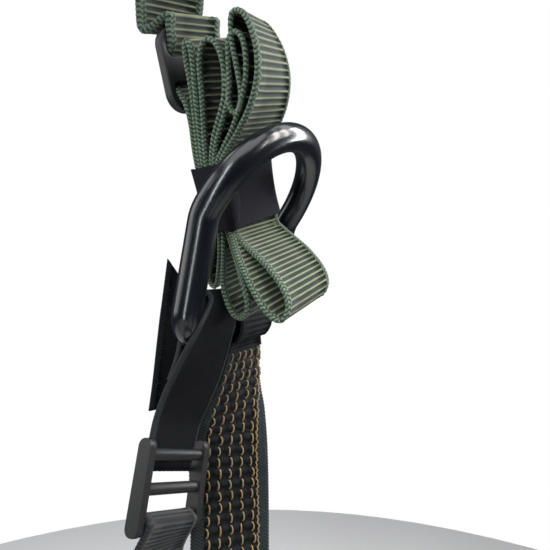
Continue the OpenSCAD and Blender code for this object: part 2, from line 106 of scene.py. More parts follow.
def inBundle(side, points):
    points = np.array(points, float).reshape(-1, 3)
    return atHip(side, np.array(bundlePlace["at"]) + points @ np.array(bundleAxes))


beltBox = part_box("belt_webbing")
hipY = hipAt["right"][1]
beltA = beltBox[1].x
beltB = beltBox[1].y - hipY
beltZ = (beltBox[0].z + beltBox[1].z) / 2


def onBelt(side, angle, height, out=0.0):
    # out is from the belt webbing's outer face; height and out are in mm
    a = math.radians(angle)
    return np.array(((beltA + out * mm) * math.cos(a) * mirrored(side), hipY + (beltB + out * mm) * math.sin(a),
        beltZ + height * mm))


saddleAt = (hipAt["right"] + hipAt["left"]) / 2


def atSaddle(side, points):
    # points in mm from the middle between the two bars, as on the right side
    return saddleAt + np.array(points, float).reshape(-1, 3) * (mirrored(side), 1, 1) * mm


legTilt = math.asin(jointAxis["leg_tongue_right_slide"][2])
legSize = {"insideA": 0.072, "insideB": 0.088, "strapOut": 0.0123, "x": 0.092, "y": 0.008, "down": 0.205}


def inLeg(side, points):
    # x and z are turned by the leg loop's tilt
    p = np.array(points, float).reshape(-1, 3)
    c, s = math.cos(legTilt), math.sin(legTilt)
    x = p[:, 0] * c + p[:, 2] * s - legSize["x"]
    z = p[:, 2] * c - p[:, 0] * s - legSize["down"] + hipAt[side][2]
    return np.stack([x * mirrored(side), p[:, 1] + legSize["y"] + hipY, z], 1)


def onLeg(side, angle, height, out=0.0):
    a = math.radians(angle)
    outA = legSize["insideA"] + legSize["strapOut"] + out
    outB = legSize["insideB"] + legSize["strapOut"] + out
    return inLeg(side, [(outA * math.cos(a), outB * math.sin(a), height)])[0]


# bridge rope, the only cord: knot, link, ring, link, knot

ropeLook = {"diameter": 0.011, "step": 0.0009, "around": 40, "pitch": 0.0058, "strands": 12, "relief": 0.0006}
# the rope's route from the bridge ring to the left link, in metres from the swivel eye
ropeRoute = [(0, 0, -.0702), (.010, .0005, -.0724), (.019, .0025, -.079), (.027, .007, -.088),
    (.038, .015, -.102), (.050, .024, -.118), (.063, .034, -.135), (.076, .044, -.152),
    (.089, .054, -.169), (.102, .0645, -.186), (.112, .0735, -.201), (.119, .082, -.2135),
    (.1225, .0905, -.223), (.1215, .098, -.229), (.118, .1055, -.232), (.1117, .1163, -.233),
    (.109, .121, -.233)]


def smoothLine(points, step):
    # rounded line through the points, at even steps along its length
    p = np.array(points, float)
    ends = np.vstack([2 * p[0] - p[1], p, 2 * p[-1] - p[-2]])
    fine = []
    for i in range(1, len(ends) - 2):
        a, b, c, d = ends[i - 1:i + 3]
        for t in np.linspace(0, 1, 12, endpoint=False):
            fine.append(0.5 * (2 * b + (c - a) * t + (2 * a - 5 * b + 4 * c - d) * t * t
                + (3 * b - a - 3 * c + d) * t ** 3))
    fine = np.array(fine + [ends[-2]])
    return evenSteps(fine, fine, step)


def evenSteps(line, by, step):
    # spreads a line's points by the length of another line that runs beside it
    run = runAlong(by)
    count = max(2, int(round(run[-1] / step)) + 1)
    marks = np.linspace(0, run[-1], count)
    return np.stack([np.interp(marks, run, line[:, k]) for k in range(line.shape[1])], 1)


def unit(v):
    return v / np.maximum(np.linalg.norm(v, axis=-1, keepdims=True), 1e-12)


def headings(line):
    return unit(np.gradient(line, axis=0))


def runAlong(line):
    # distance from the line's start to each of its points
    return np.concatenate([[0], np.cumsum(np.linalg.norm(np.diff(line, axis=0), axis=1))])


def joinPieces(*pieces):
    # the first piece takes in the others
    with bpy.context.temp_override(active_object=pieces[0], selected_editable_objects=list(pieces)):
        bpy.ops.object.join()


def closedTube(rows, columns):
    # faces of a tube of rows x columns points, with its two end faces
    i, j = np.meshgrid(np.arange(rows - 1), np.arange(columns), indexing="ij")
    a = (i * columns + j).ravel()
    b = (i * columns + (j + 1) % columns).ravel()
    quads = np.stack([a, b, b + columns, a + columns], 1)
    first, last = list(range(columns)), list(range((rows - 1) * columns, rows * columns))
    return quads.tolist() + [first[::-1], last]


def makeMesh(name, points, faces, marks=None):
    mesh = bpy.data.meshes.new(name)
    mesh.from_pydata(np.array(points, float).tolist(), [], [list(f) for f in faces])
    for mark, values in (marks or {}).items():
        values = np.array(values, np.float32).ravel()
        mesh.attributes.new(mark, "FLOAT", "POINT").data.foreach_set("value", values)
    mesh.shade_smooth()
    piece = bpy.data.objects.new(name, mesh)
    bpy.context.scene.collection.objects.link(piece)
    faceOutward(mesh)
    return piece


def faceOutward(mesh):
    # turns a closed mesh that is inside out
    corners = np.zeros(len(mesh.vertices) * 3)
    mesh.vertices.foreach_get("co", corners)
    corners = corners.reshape(-1, 3)
    mesh.calc_loop_triangles()
    ids = np.zeros(len(mesh.loop_triangles) * 3, int)
    mesh.loop_triangles.foreach_get("vertices", ids)
    a, b, c = (corners[ids.reshape(-1, 3)[:, k]] for k in range(3))
    if np.einsum("ij,ij->", a, np.cross(b, c)) < 0:
        mesh.flip_normals()


def sweptRound(name, line, radius, around, relief=None):
    # round cord along a line; relief(run, angle) lifts its surface and gives its painted light value, darker in the
    # hollows
    along = headings(line)
    side = np.zeros_like(line)
    side[0] = unit(np.cross(along[0], (0.13, 0.27, 0.95)))
    for i in range(1, len(line)):
        side[i] = unit(side[i - 1] - along[i] * (side[i - 1] @ along[i]))
    up = np.cross(along, side)
    run = runAlong(line)
    angle = np.linspace(0, 2 * math.pi, around, endpoint=False)
    s, a = np.meshgrid(run, angle, indexing="ij")
    lift, light = relief(s, a) if relief else (np.zeros_like(s), np.ones_like(s))
    r = np.broadcast_to(np.asarray(radius, float).reshape(-1, 1), s.shape) + lift
    points = line[:, None] + side[:, None] * (r * np.cos(a))[..., None]
    points = points + up[:, None] * (r * np.sin(a))[..., None]
    return makeMesh(name, points.reshape(-1, 3), closedTube(len(line), around),
        {"crest": light, "run": s / mm, "across": a})


def braid(pitch, strands, height):
    # over-and-under strands of a braided cover, as a lift and a painted light value that puts painted shade between the
    # strands
    def relief(s, a):
        one = a * strands / (2 * math.pi) + s / pitch
        two = a * strands / (2 * math.pi) - s / pitch
        over = ((np.floor(one) + np.floor(two)) % 2) > 0.5
        ridge = np.where(over, np.abs(np.sin(math.pi * one)), np.abs(np.sin(math.pi * two))) ** 0.6
        return (ridge - 1) * height, ridge
    return relief


fullRoute = [(-x, y, z) for x, y, z in ropeRoute[:0:-1]] + ropeRoute
ropeLine = smoothLine(fullRoute, ropeLook["step"])
bridgeRope = sweptRound("bridgeRope", ropeLine, ropeLook["diameter"] / 2, ropeLook["around"],
    braid(ropeLook["pitch"], ropeLook["strands"], ropeLook["relief"]))
ropeLength = float(runAlong(ropeLine)[-1])
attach(bridgeRope, "saddle")
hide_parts("bridge_rope")

knotLook = {"wrap": 0.0090, "strand": 0.0045, "turns": 2, "tail": 0.022, "back": 0.0165, "lead": 0.0046,
    "length": 0.0068, "around": 28, "pitch": 0.005, "strands": 10, "relief": 0.0005}


def makeKnot(side):
    # barrel knot: the rope's end wound round itself, with its tail along the core
    k = mirrored(side)
    end = ropeLine[0] if side == "right" else ropeLine[-1]
    before = ropeLine[12] if side == "right" else ropeLine[-13]
    along = unit(end - before)
    side1 = unit(np.cross(along, (0, 0, 1)))
    side2 = np.cross(side1, along)
    start = end - along * knotLook["back"]
    turn = np.linspace(0, 2 * math.pi * knotLook["turns"], 90)
    coil = [start + along * (knotLook["lead"] + knotLook["length"] * t / turn[-1]) + knotLook["wrap"]
        * (side1 * math.cos(t * k) + side2 * math.sin(t * k)) for t in turn]
    last = coil[-1]
    tail = [last + along * 0.004 - side1 * 0.002, last + along * 0.012 - side1 * 0.004,
        last + along * knotLook["tail"] - side1 * 0.004]
    return np.vstack([coil, tail])


knotBraid = braid(knotLook["pitch"], knotLook["strands"], knotLook["relief"])
knotParts = [sweptRound("knot_" + side, smoothLine(makeKnot(side), ropeLook["step"]), knotLook["strand"],
    knotLook["around"], knotBraid) for side in sides]
bridgeKnots = knotParts[0]
bridgeKnots.name = "bridgeKnots"
joinPieces(*knotParts)
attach(bridgeKnots, "saddle")
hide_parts("bridge_knots")
print("bridge rope laid,", round(ropeLength, 3), "m")

# materials


def addNode(tree, kind, settings=None, **inputs):
    node = tree.nodes.new("ShaderNode" + kind)
    for name, value in (settings or {}).items():
        setattr(node, name, value)
    for name, value in inputs.items():
        socket = node.inputs[int(name[2:])] if name.startswith("in") else node.inputs[name.replace("_", " ")]
        if isinstance(value, bpy.types.NodeSocket):
            tree.links.new(value, socket)
        else:
            socket.default_value = value
    return node


def mark(tree, name):
    return addNode(tree, "Attribute", {"attribute_name": name}).outputs["Fac"]


def maths(tree, what, a, b=0.0):
    return addNode(tree, "Math", {"operation": what}, in0=a, in1=b).outputs[0]


def blendColours(tree, amount, first, second, kind="MIX"):
    node = addNode(tree, "Mix", {"data_type": "RGBA", "blend_type": kind})
    for socket, value in ((0, amount), (6, first), (7, second)):
        if isinstance(value, bpy.types.NodeSocket):
            tree.links.new(value, node.inputs[socket])
        else:
            node.inputs[socket].default_value = value
    return node.outputs[2]


def noise(tree, scale, detail=3.0):
    where = addNode(tree, "TexCoord").outputs["Object"]
    return addNode(tree, "TexNoise", None, Vector=where, Scale=scale, Detail=detail).outputs["Fac"]


def spread(tree, value, low, high, outLow=0.0, outHigh=1.0):
    node = addNode(tree, "MapRange", None, Value=value)
    for name, number in (("From Min", low), ("From Max", high), ("To Min", outLow), ("To Max", outHigh)):
        node.inputs[name].default_value = number
    return node.outputs[0]


def newMaterial(name, roughness=0.8, sheen=0.0):
    material = bpy.data.materials.new(name)
    material.use_nodes = True
    shader = material.node_tree.nodes["Principled BSDF"]
    shader.inputs["Roughness"].default_value = roughness
    shader.inputs["Sheen Weight"].default_value = sheen
    return material, material.node_tree, shader


def addBump(tree, shader, height, strength, distance):
    node = addNode(tree, "Bump", None, Height=height, Strength=strength, Distance=distance)
    tree.links.new(node.outputs[0], shader.inputs["Normal"])


def rgba(colour):
    return (*colour, 1.0)


def webbingMaterial(name, look):
    material, tree, shader = newMaterial(name, look.get("roughness", 0.78), look.get("sheen", 0.08))
    shader.inputs["Specular IOR Level"].default_value = look.get("specular", 0.35)
    # painted light: the crest colour where the relief value is high and the groove colour as painted shade in its
    # hollows; the knitted edges blend their own painted shade and painted light colours the same way
    crest, edge = mark(tree, "crest"), mark(tree, "edge")
    threads = maths(tree, "SINE", maths(tree, "MULTIPLY", mark(tree, "across"), 2 * math.pi / look["thread"]))
    picks = maths(tree, "MULTIPLY", mark(tree, "run"), 2 * math.pi / look.get("line", 0.55))
    lines = maths(tree, "SINE", picks)
    weave = maths(tree, "MULTIPLY", threads, lines)
    lit = maths(tree, "ADD", crest, maths(tree, "MULTIPLY", weave, 0.10))
    level = spread(tree, lit, look.get("from", 0.35), look.get("to", 0.9))
    body = blendColours(tree, level, rgba(look["groove"]), rgba(look["crest"]))
    knit = blendColours(tree, spread(tree, lit, 0.3, 0.85), rgba(look["knitDark"]), rgba(look["knitLight"]))
    whole = blendColours(tree, edge, body, knit)
    patches = spread(tree, noise(tree, 260, 4), 0.3, 0.75)
    worn = blendColours(tree, patches, rgba((0.78, 0.78, 0.78)), rgba((1, 1, 1)))
    tree.links.new(blendColours(tree, 1.0, whole, worn, "MULTIPLY"), shader.inputs["Base Color"])
    hairs = maths(tree, "MULTIPLY", noise(tree, 3000), 0.8)
    fuzz = maths(tree, "ADD", maths(tree, "MULTIPLY", weave, 0.5), hairs)
    addBump(tree, shader, fuzz, look.get("bump", 0.5), 0.00012)
    return material


# in each look the darker colours are painted shade for the grooves and knit hollows, and the lighter ones painted light
# for the crests and stitches
webbingLooks = {
    "green": {"groove": (0.006, 0.016, 0.010), "crest": (0.22, 0.235, 0.13), "knitDark": (0.004, 0.010, 0.007),
        "knitLight": (0.14, 0.20, 0.13), "thread": 0.62, "from": 0.72, "to": 1.04, "specular": 0.25},
    "black": {"groove": (0.0015, 0.0015, 0.0018), "crest": (0.030, 0.031, 0.033), "knitDark": (0.002, 0.002, 0.002),
        "knitLight": (0.024, 0.025, 0.027), "thread": 0.5},
    "sleeve": {"specular": 0.12, "sheen": 0.0, "groove": (0.0004, 0.0004, 0.0006), "crest": (0.006, 0.007, 0.009),
        "knitDark": (0.001, 0.001, 0.001),
        "knitLight": (0.02, 0.022, 0.025), "thread": 0.6},
    "twill": {"specular": 0.12, "sheen": 0.0, "groove": (0.0003, 0.0003, 0.0005), "crest": (0.0105, 0.011, 0.014),
        "knitDark": (0.003, 0.003, 0.003),
        "knitLight": (0.035, 0.038, 0.04), "thread": 0.55, "line": 0.4},
    "plain": {"specular": 0.12, "sheen": 0.0, "groove": (0.0004, 0.0008, 0.0012), "crest": (0.004, 0.006, 0.008),
        "knitDark": (0.002, 0.002, 0.003),
        "knitLight": (0.012, 0.015, 0.018), "thread": 0.5},
    "looped": {"groove": (0.0006, 0.0006, 0.001), "crest": (0.011, 0.013, 0.016), "knitDark": (0.001, 0.001, 0.001),
        "knitLight": (0.022, 0.030, 0.032), "thread": 0.5, "specular": 0.2, "sheen": 0.02},
    "elastic": {"groove": (0.0008, 0.0008, 0.0014), "crest": (0.012, 0.012, 0.021), "knitDark": (0.002, 0.002, 0.003),
        "knitLight": (0.03, 0.03, 0.036), "thread": 0.8, "line": 0.8, "specular": 0.15, "sheen": 0.0},
    "tanThread": {"groove": (0.07, 0.05, 0.025), "crest": (0.24, 0.165, 0.075), "knitDark": (0.1, 0.07, 0.03),
        "knitLight": (0.4, 0.3, 0.15), "thread": 0.4},
    "rope": {"groove": (0.05, 0.012, 0.006), "crest": (0.42, 0.10, 0.035), "knitDark": (0.1, 0.02, 0.01),
        "knitLight": (0.4, 0.1, 0.04), "thread": 0.35},
    "binding": {"groove": (0.003, 0.003, 0.003), "crest": (0.018, 0.019, 0.02), "knitDark": (0.003, 0.003, 0.003),
        "knitLight": (0.02, 0.02, 0.022), "thread": 0.7},
    "stitch": {"groove": (0.06, 0.06, 0.05), "crest": (0.30, 0.31, 0.27), "knitDark": (0.1, 0.1, 0.1),
        "knitLight": (0.3, 0.3, 0.3), "thread": 0.4},
}
webbingMaterials = {name: webbingMaterial(name + "Webbing", look) for name, look in webbingLooks.items()}


def metalMaterial(name, base, roughness, metallic, grain=0.0, coat=0.0):
    material, tree, shader = newMaterial(name, roughness)
    shader.inputs["Metallic"].default_value = metallic
    shader.inputs["Coat Weight"].default_value = coat
    shader.inputs["Coat Roughness"].default_value = 0.12
    cloud = noise(tree, 90, 5)
    dark, light = rgba([c * 0.8 for c in base]), rgba([c * 1.15 for c in base])
    tint = blendColours(tree, spread(tree, cloud, 0.35, 0.7), dark, light)
    tree.links.new(tint, shader.inputs["Base Color"])
    fine = noise(tree, 1600 if grain else 40, 4)
    tree.links.new(spread(tree, fine, 0.3, 0.7, roughness - 0.04, roughness + 0.05), shader.inputs["Roughness"])
    if grain:
        addBump(tree, shader, fine, grain, 0.00005)
    return material


metals = {
    "coated": metalMaterial("satinBlackCoat", (0.0025, 0.0035, 0.006), 0.24, 0.0, 0.0, 0.15),
    "buckle": metalMaterial("blackAnodised", (0.03, 0.03, 0.033), 0.36, 0.7, 0.18),
    "tab": metalMaterial("greyTabs", (0.35, 0.35, 0.37), 0.32, 1.0, 0.15),
    "swivel": metalMaterial("greyAnodised", (0.16, 0.165, 0.175), 0.3, 0.9, 0.12),
    "steel": metalMaterial("brushedSteel", (0.5, 0.5, 0.52), 0.3, 1.0, 0.2),
    "brass": metalMaterial("brassWasher", (0.55, 0.38, 0.14), 0.3, 1.0, 0.15),
    "slide": metalMaterial("slideCoating", (0.0008, 0.0008, 0.0012), 0.55, 0.0, 0.08),
    "moulded": metalMaterial("mouldedLoops", (0.012, 0.012, 0.013), 0.5, 0.0, 0.5),
}


def padMaterial(name, low, high, cell):
    # woven cover: a fine basket weave of threads with a little colour variation, and painted shade at the sunken edges
    # of each raised cell
    material, tree, shader = newMaterial(name, 0.85, 0.15)
    where = addNode(tree, "TexCoord").outputs["Object"]
    grain = addNode(tree, "TexVoronoi", None, Vector=where, Scale=1 / cell).outputs["Distance"]
    cloud = noise(tree, 60, 4)
    # painted shade: the low colour at the cells' sunken edges, the high colour painted light on their raised middles
    base = blendColours(tree, spread(tree, grain, 0.05, 0.6), rgba(high), rgba(low))
    whole = blendColours(tree, spread(tree, cloud, 0.3, 0.7, 0, 0.4), base, rgba(low))
    tree.links.new(whole, shader.inputs["Base Color"])
    addBump(tree, shader, maths(tree, "SUBTRACT", 1.0, grain), 0.55, 0.0003)
    return material


# low is the cover's painted shade colour and high its lit colour
padCover = padMaterial("padCover", (0.007, 0.007, 0.008), (0.030, 0.031, 0.034), 0.0013)
meshCover = padMaterial("meshLining", (0.010, 0.010, 0.011), (0.045, 0.045, 0.048), 0.0022)
bridgeRope.data.materials.append(webbingMaterials["rope"])
bridgeKnots.data.materials.clear()
bridgeKnots.data.materials.append(webbingMaterials["rope"])
print("materials made:", len(bpy.data.materials))

# webbing: a strap between two edges, with woven ribs and knitted selvedges


def ribRelief(run, look):
    # rounded ribs with narrow grooves between them, and a painted light value that puts painted shade in the grooves
    wave = np.abs(np.sin(math.pi * run / look["pitch"])) ** look.get("roundness", 1.3)
    return (wave - 1) * look["ribHeight"], wave


def knitRelief(run, fromEdge, look):
    # slanting stitches whose slant turns over at each column, like a knitted edge, with painted shade between the
    # stitches
    column = look.get("column", 1.35)
    zig = np.abs(((fromEdge / column) % 2) - 1)
    wave = np.abs(np.sin(math.pi * (run / look.get("stitch", 1.5) + 0.55 * zig)))
    split = np.abs(np.sin(math.pi * fromEdge / column + math.pi / 2)) ** 0.35
    lump = wave ** 0.8 * (0.35 + 0.65 * split)
    return (lump - 0.55) * look.get("knitHeight", 0.3), lump


def sectionOf(width, look):
    # points round a strap's section: place across, height, outward direction, distance from the edge
    half, t = width / 2, look["thick"] / 2
    border = look.get("border", 1.6)
    flat = np.linspace(-half + t + border, half - t - border, look.get("columns", 5))
    borderSteps = np.linspace(border, 0, look.get("borderColumns", 3), endpoint=False)
    rows = [(v, t, 0, 1, None) for v in flat]
    rows += [(half - t - b, t, 0, 1, b + t * math.pi / 2) for b in borderSteps]
    for a in np.linspace(90, -90, look.get("edgeSteps", 7)):
        c, s = math.cos(math.radians(a)), math.sin(math.radians(a))
        rows.append((half - t + t * c, t * s, c, s, abs(math.radians(a)) * t))
    rows += [(half - t - b, -t, 0, -1, b + t * math.pi / 2) for b in borderSteps[::-1]]
    rows += [(v, -t, 0, -1, None) for v in flat[::-1]]
    rows += [(-half + t + b, -t, 0, -1, b + t * math.pi / 2) for b in borderSteps]
    for a in np.linspace(-90, -270, look.get("edgeSteps", 7)):
        c, s = math.cos(math.radians(a)), math.sin(math.radians(a))
        rows.append((-half + t + t * c, t * s, c, s, abs(math.radians(a + 180)) * t))
    rows += [(-half + t + b, t, 0, 1, b + t * math.pi / 2) for b in borderSteps[::-1]]
    return rows


def strapLines(one, two, step):
    # a strap's middle line from its two edges, and its width in mm, across and normal directions there
    both = smoothLine(np.hstack([np.array(one, float), np.array(two, float)]), step * mm)
    left, right = both[:, :3], both[:, 3:]
    middle = (left + right) / 2
    across = unit(right - left)
    normal = unit(np.cross(headings(middle), across))
    return middle, across, normal, np.linalg.norm(right - left, axis=1) / mm


def makeStrap(name, one, two, look, material, extra=None):
    # one and two are the strap's edges, in metres; look is in mm
    middle, across, normal, widths = strapLines(one, two, look["step"])
    width = float(np.median(widths))
    section = sectionOf(width, look)
    place, height, outX, outZ = np.array([r[:4] for r in section], float).T
    isEdge = np.array([r[4] is not None for r in section])
    fromEdge = np.array([r[4] or 0.0 for r in section])
    s, v = np.meshgrid(runAlong(middle) / mm, place, indexing="ij")
    e = np.broadcast_to(fromEdge, s.shape)
    ribLift, ribLight = ribRelief(s + look.get("slant", 0) * v, look)
    knitLift, knitLight = knitRelief(s, e, look)
    lift = np.where(isEdge, knitLift, ribLift)
    light = np.where(isEdge, knitLight, ribLight)
    if extra:
        more, lightMore = extra(s, v, height)
        lift = lift + more
        light = light * lightMore
    stretch = (widths / width)[:, None]
    points = middle[:, None] + across[:, None] * ((v * stretch + outX * lift) * mm)[..., None]
    points = points + normal[:, None] * ((height + outZ * lift) * mm)[..., None]
    # the painted light value goes with the mesh: painted shade in the grooves and between the stitches
    marks = {"crest": light, "edge": np.broadcast_to(isEdge, s.shape), "run": s, "across": v}
    piece = makeMesh(name, points.reshape(-1, 3), closedTube(len(middle), len(section)), marks)
    piece.data.materials.append(material)
    return piece


def finishPiece(piece, body, slot, *nodes):
    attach(piece, body)
    if nodes:
        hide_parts(*nodes)
    return piece


# folded green tail: one strap through the elastic eight times

bundleLook = {"thick": 1.55, "pitch": 2.2, "ribHeight": 0.42, "step": 0.37, "border": 1.3, "columns": 5,
    "borderColumns": 2, "edgeSteps": 6, "knitHeight": 0.34, "stitch": 1.5, "column": 1.25, "halfWidth": 12.5}
# near edge of the strap's middle line: across the folds, down, and how far the point is pulled
# towards the wearer (the far edge's own shift follows)
tailRoute = [
    (-10.6, -41.5), (-8.6, -38.6), (-6.6, -35), (-6.2, -28), (-7.2, -20), (-7.5, -12.5), (-7.4, 0), (-8.0, 10),
    (-11.2, 15), (-14.6, 20.5), (-15.4, 24.4), (-13.4, 25.8), (-11.2, 23.5), (-9.0, 17.5), (-6.2, 10),
    (-5.6, 0), (-5.6, -12.5), (-4.6, -22), (-2.2, -38), (-1.6, -50), (-0.4, -54.4), (1.4, -54.0), (1.8, -50),
    (-0.1, -38), (-2.7, -22), (-3.8, -12.5), (-3.8, 0), (-4.0, 9), (-6.6, 16), (-10.6, 23), (-13.8, 28.6),
    (-14.4, 32.4), (-12.2, 34.0), (-10.0, 32.2), (-7.2, 26.6), (-4.4, 19.4), (-2.2, 11), (-1.9, 0),
    (-2.0, -12.5), (-0.4, -22), (2.9, -36), (4.6, -45), (7.4, -50.6), (11.4, -52.4), (15.2, -49.6),
    (16.6, -43.5), (15.0, -35.6), (11.9, -30.4), (7.2, -24.8), (3.9, -20.2), (0.8, -12.5), (-0.1, 0),
    (0.2, 10.5), (-2.0, 21, 5), (-3.6, 31.5, 16), (-3.0, 37.4, 19), (-0.8, 41.9, 20), (2.6, 43.4, 20),
    (6.4, 41.0, 20), (7.8, 36.4, 19), (6.8, 30, 16), (4.6, 22.0, 7), (2.3, 12), (1.7, 0), (2.5, -12.5),
    (5.4, -19.3), (9.2, -24.2), (14.0, -29.9), (17.4, -35.2), (19.4, -43.5), (21.4, -49.4), (25.0, -50.6),
    (27.4, -47.0), (26.8, -40.2), (23.6, -33.2), (15.8, -23.6), (8.4, -17.2), (4.3, -12.5), (3.55, 0),
    (3.9, 11, 1), (6.0, 20.0, 9), (9.8, 29.8, 17), (13.8, 37.2, 20), (17.6, 41.4, 20), (21.6, 42.8, 18),
    (25.0, 40.2, 15), (26.2, 36.2, 12), (24.4, 31.2, 9), (19.6, 25.2, 6), (14.0, 20.4, 4), (9.0, 16.2, 2),
    (5.9, 12), (5.4, 0), (6.1, -12.0), (9.6, -16.0), (17.4, -21.6), (25.4, -28.6), (30.8, -36.8), (32.2, -46),
    (29.6, -54.4), (24.8, -55.8), (22.6, -49), (22.6, -40), (22.3, -33), (20.0, -28.4), (16.8, -28.0),
    (15.9, -32), (17.6, -40)]


def tailEdges(side):
    near, far = [], []
    for across, down, *pulled in tailRoute:
        pull = sum(pulled)
        # the folds lean as they leave the elastic: the far edge is higher and nearer the middle
        spreadOut = max(0.0, (abs(down) - 12) / 30)
        sway = -1.5 * spreadOut if down > 0 else -9.0 * spreadOut * min(1.0, max(0.0, across) / 15)
        rise = -1.4 * spreadOut if down > 0 else -1.6 * spreadOut
        moved = (across + 0.687 * pull, down - 0.181 * pull, -0.703 * pull)
        near.append((moved[0], moved[1], moved[2] - bundleLook["halfWidth"]))
        far.append((moved[0] + sway, moved[1] + rise, moved[2] + bundleLook["halfWidth"]))
    return inBundle(side, near), inBundle(side, far)


for side in sides:
    near, far = tailEdges(side)
    tail = makeStrap("foldedTail_" + side, near, far, bundleLook, webbingMaterials["green"])
    finishPiece(tail, "saddle", "green_webbing", "tail_bundle_" + side)
print("folded tails made")

# elastic keeper round the folds

keeperLook = {"across": 8.75, "middle": -1.0, "half": 13.95, "thick": 0.5, "topNear": -12.2, "bottomNear": 11.2,
    "round": 3.0, "columns": 120, "around": 300}


def makeTailKeeper(side):
    # a closed band with rounded corners, knitted, slightly waisted
    rows, around = keeperLook["columns"], keeperLook["around"]
    halfP, halfW, r = keeperLook["across"], keeperLook["half"], keeperLook["round"]
    straight = [2 * (halfW - r), math.pi * r / 2, 2 * (halfP - r), math.pi * r / 2] * 2
    total = sum(straight)
    points, crest, runs, acrosses = [], [], [], []
    for layer in (0, 1):
        for i in range(rows):
            share = i / (rows - 1)
            down = keeperLook["topNear"] + (keeperLook["bottomNear"] - keeperLook["topNear"]) * share
            pinch = 0.55 * math.sin(math.pi * share)
            for j in range(around):
                d = total * j / around
                p, w, outP, outW = roundedBox(d, halfP - pinch, halfW - pinch * 0.6, r)
                wale = abs(math.sin(math.pi * d / 0.85))
                vee = abs(math.sin(math.pi * (down / 0.8 + 0.5 * abs((d / 0.85) % 2 - 1))))
                lift = (0.16 * wale * vee + keeperLook["thick"]) if layer == 0 else 0.0
                edge = 0.25 * math.sin(d * 1.9) * (share < 0.02 or share > 0.98)
                slope = -0.10 * (w + halfW) if share > 0.5 else 0.02 * w
                points.append((keeperLook["middle"] + p + outP * lift, down + edge + slope * 1.2 * abs(share - 0.5),
                    w + outW * lift))
                # painted light value: painted shade in the hollows between the knitted stitches
                crest.append(0.25 + 0.75 * wale * vee)
                runs.append(down)
                acrosses.append(d)
    faces = []
    for i in range(rows - 1):
        for j in range(around):
            a, b = i * around + j, i * around + (j + 1) % around
            faces.append((a, b, b + around, a + around))
            a, b = a + rows * around, b + rows * around
            faces.append((b, a, a + around, b + around))
    last = (rows - 1) * around
    for j in range(around):
        a, b = j, (j + 1) % around
        faces.append((b, a, a + rows * around, b + rows * around))
        faces.append((a + last, b + last, b + last + rows * around, a + last + rows * around))
    piece = makeMesh("tailKeeper_" + side, inBundle(side, points), faces,
        {"crest": crest, "run": runs, "across": acrosses, "edge": np.zeros(len(crest))})
    piece.data.materials.append(webbingMaterials["elastic"])
    return finishPiece(piece, "saddle", "elastic", "tail_keeper_" + side)


def roundedBox(d, halfP, halfW, r):
    # point and outward direction at a distance round a rectangle with round corners
    lengths = [2 * (halfW - r), math.pi * r / 2, 2 * (halfP - r), math.pi * r / 2]
    corner = 0
    d = d % (2 * sum(lengths))
    while d > lengths[corner % 4]:
        d -= lengths[corner % 4]
        corner += 1
    flip = 1 if corner < 4 else -1
    corner %= 4
    if corner == 0:
        p, w, a, b = halfP, -halfW + r + d, 1, 0
    elif corner == 1:
        t = d / r
        p, w, a, b = halfP - r + r * math.cos(t), halfW - r + r * math.sin(t), math.cos(t), math.sin(t)
    elif corner == 2:
        p, w, a, b = halfP - r - d, halfW, 0, 1
    else:
        t = d / r
        p, w, a, b = -halfP + r - r * math.sin(t), halfW - r + r * math.cos(t), -math.sin(t), math.cos(t)
    return flip * p, flip * w, flip * a, flip * b


for side in sides:
    makeTailKeeper(side)
print("elastic keepers made")

# straps on the D-ring's bar

twillLook = {"thick": 2.0, "pitch": 0.86, "ribHeight": 0.20, "step": 0.2, "border": 0.5, "columns": 34,
    "borderColumns": 1, "edgeSteps": 5, "slant": 0.42, "knitHeight": 0.1, "stitch": 0.9, "column": 0.8, "roundness": 0.9}
sleeveLook = {"thick": 1.8, "pitch": 2.15, "ribHeight": 0.5, "step": 0.27, "border": 0.8, "columns": 5,
    "borderColumns": 1, "edgeSteps": 5, "knitHeight": 0.15, "stitch": 1.1, "column": 0.9}
loopedLook = {"thick": 2.3, "pitch": 4.3, "ribHeight": 0.35, "step": 0.36, "border": 3.6, "columns": 26,
    "borderColumns": 4, "edgeSteps": 5, "knitHeight": 0.34, "stitch": 1.3, "column": 0.9}
barTurn = math.radians(25.7)
barAxis = np.array((-math.cos(barTurn), math.sin(barTurn), 0))
barSquare = np.array((math.sin(barTurn), math.cos(barTurn), 0))


sleevePlace = {"outer": 21.9, "inner": -3.2, "radius": 6.4, "angles": (262, 225, 190, 150, 110, 70, 30, -10, -50, -78)}


def aroundBar(place):
    # points round the bar: 0 degrees is to the rear and 90 up
    turns = [(math.cos(math.radians(a)), math.sin(math.radians(a))) for a in sleevePlace["angles"]]
    return [tuple(barAxis * place + sleevePlace["radius"] * (barSquare * c + np.array((0, 0, s)))) for c, s in turns]


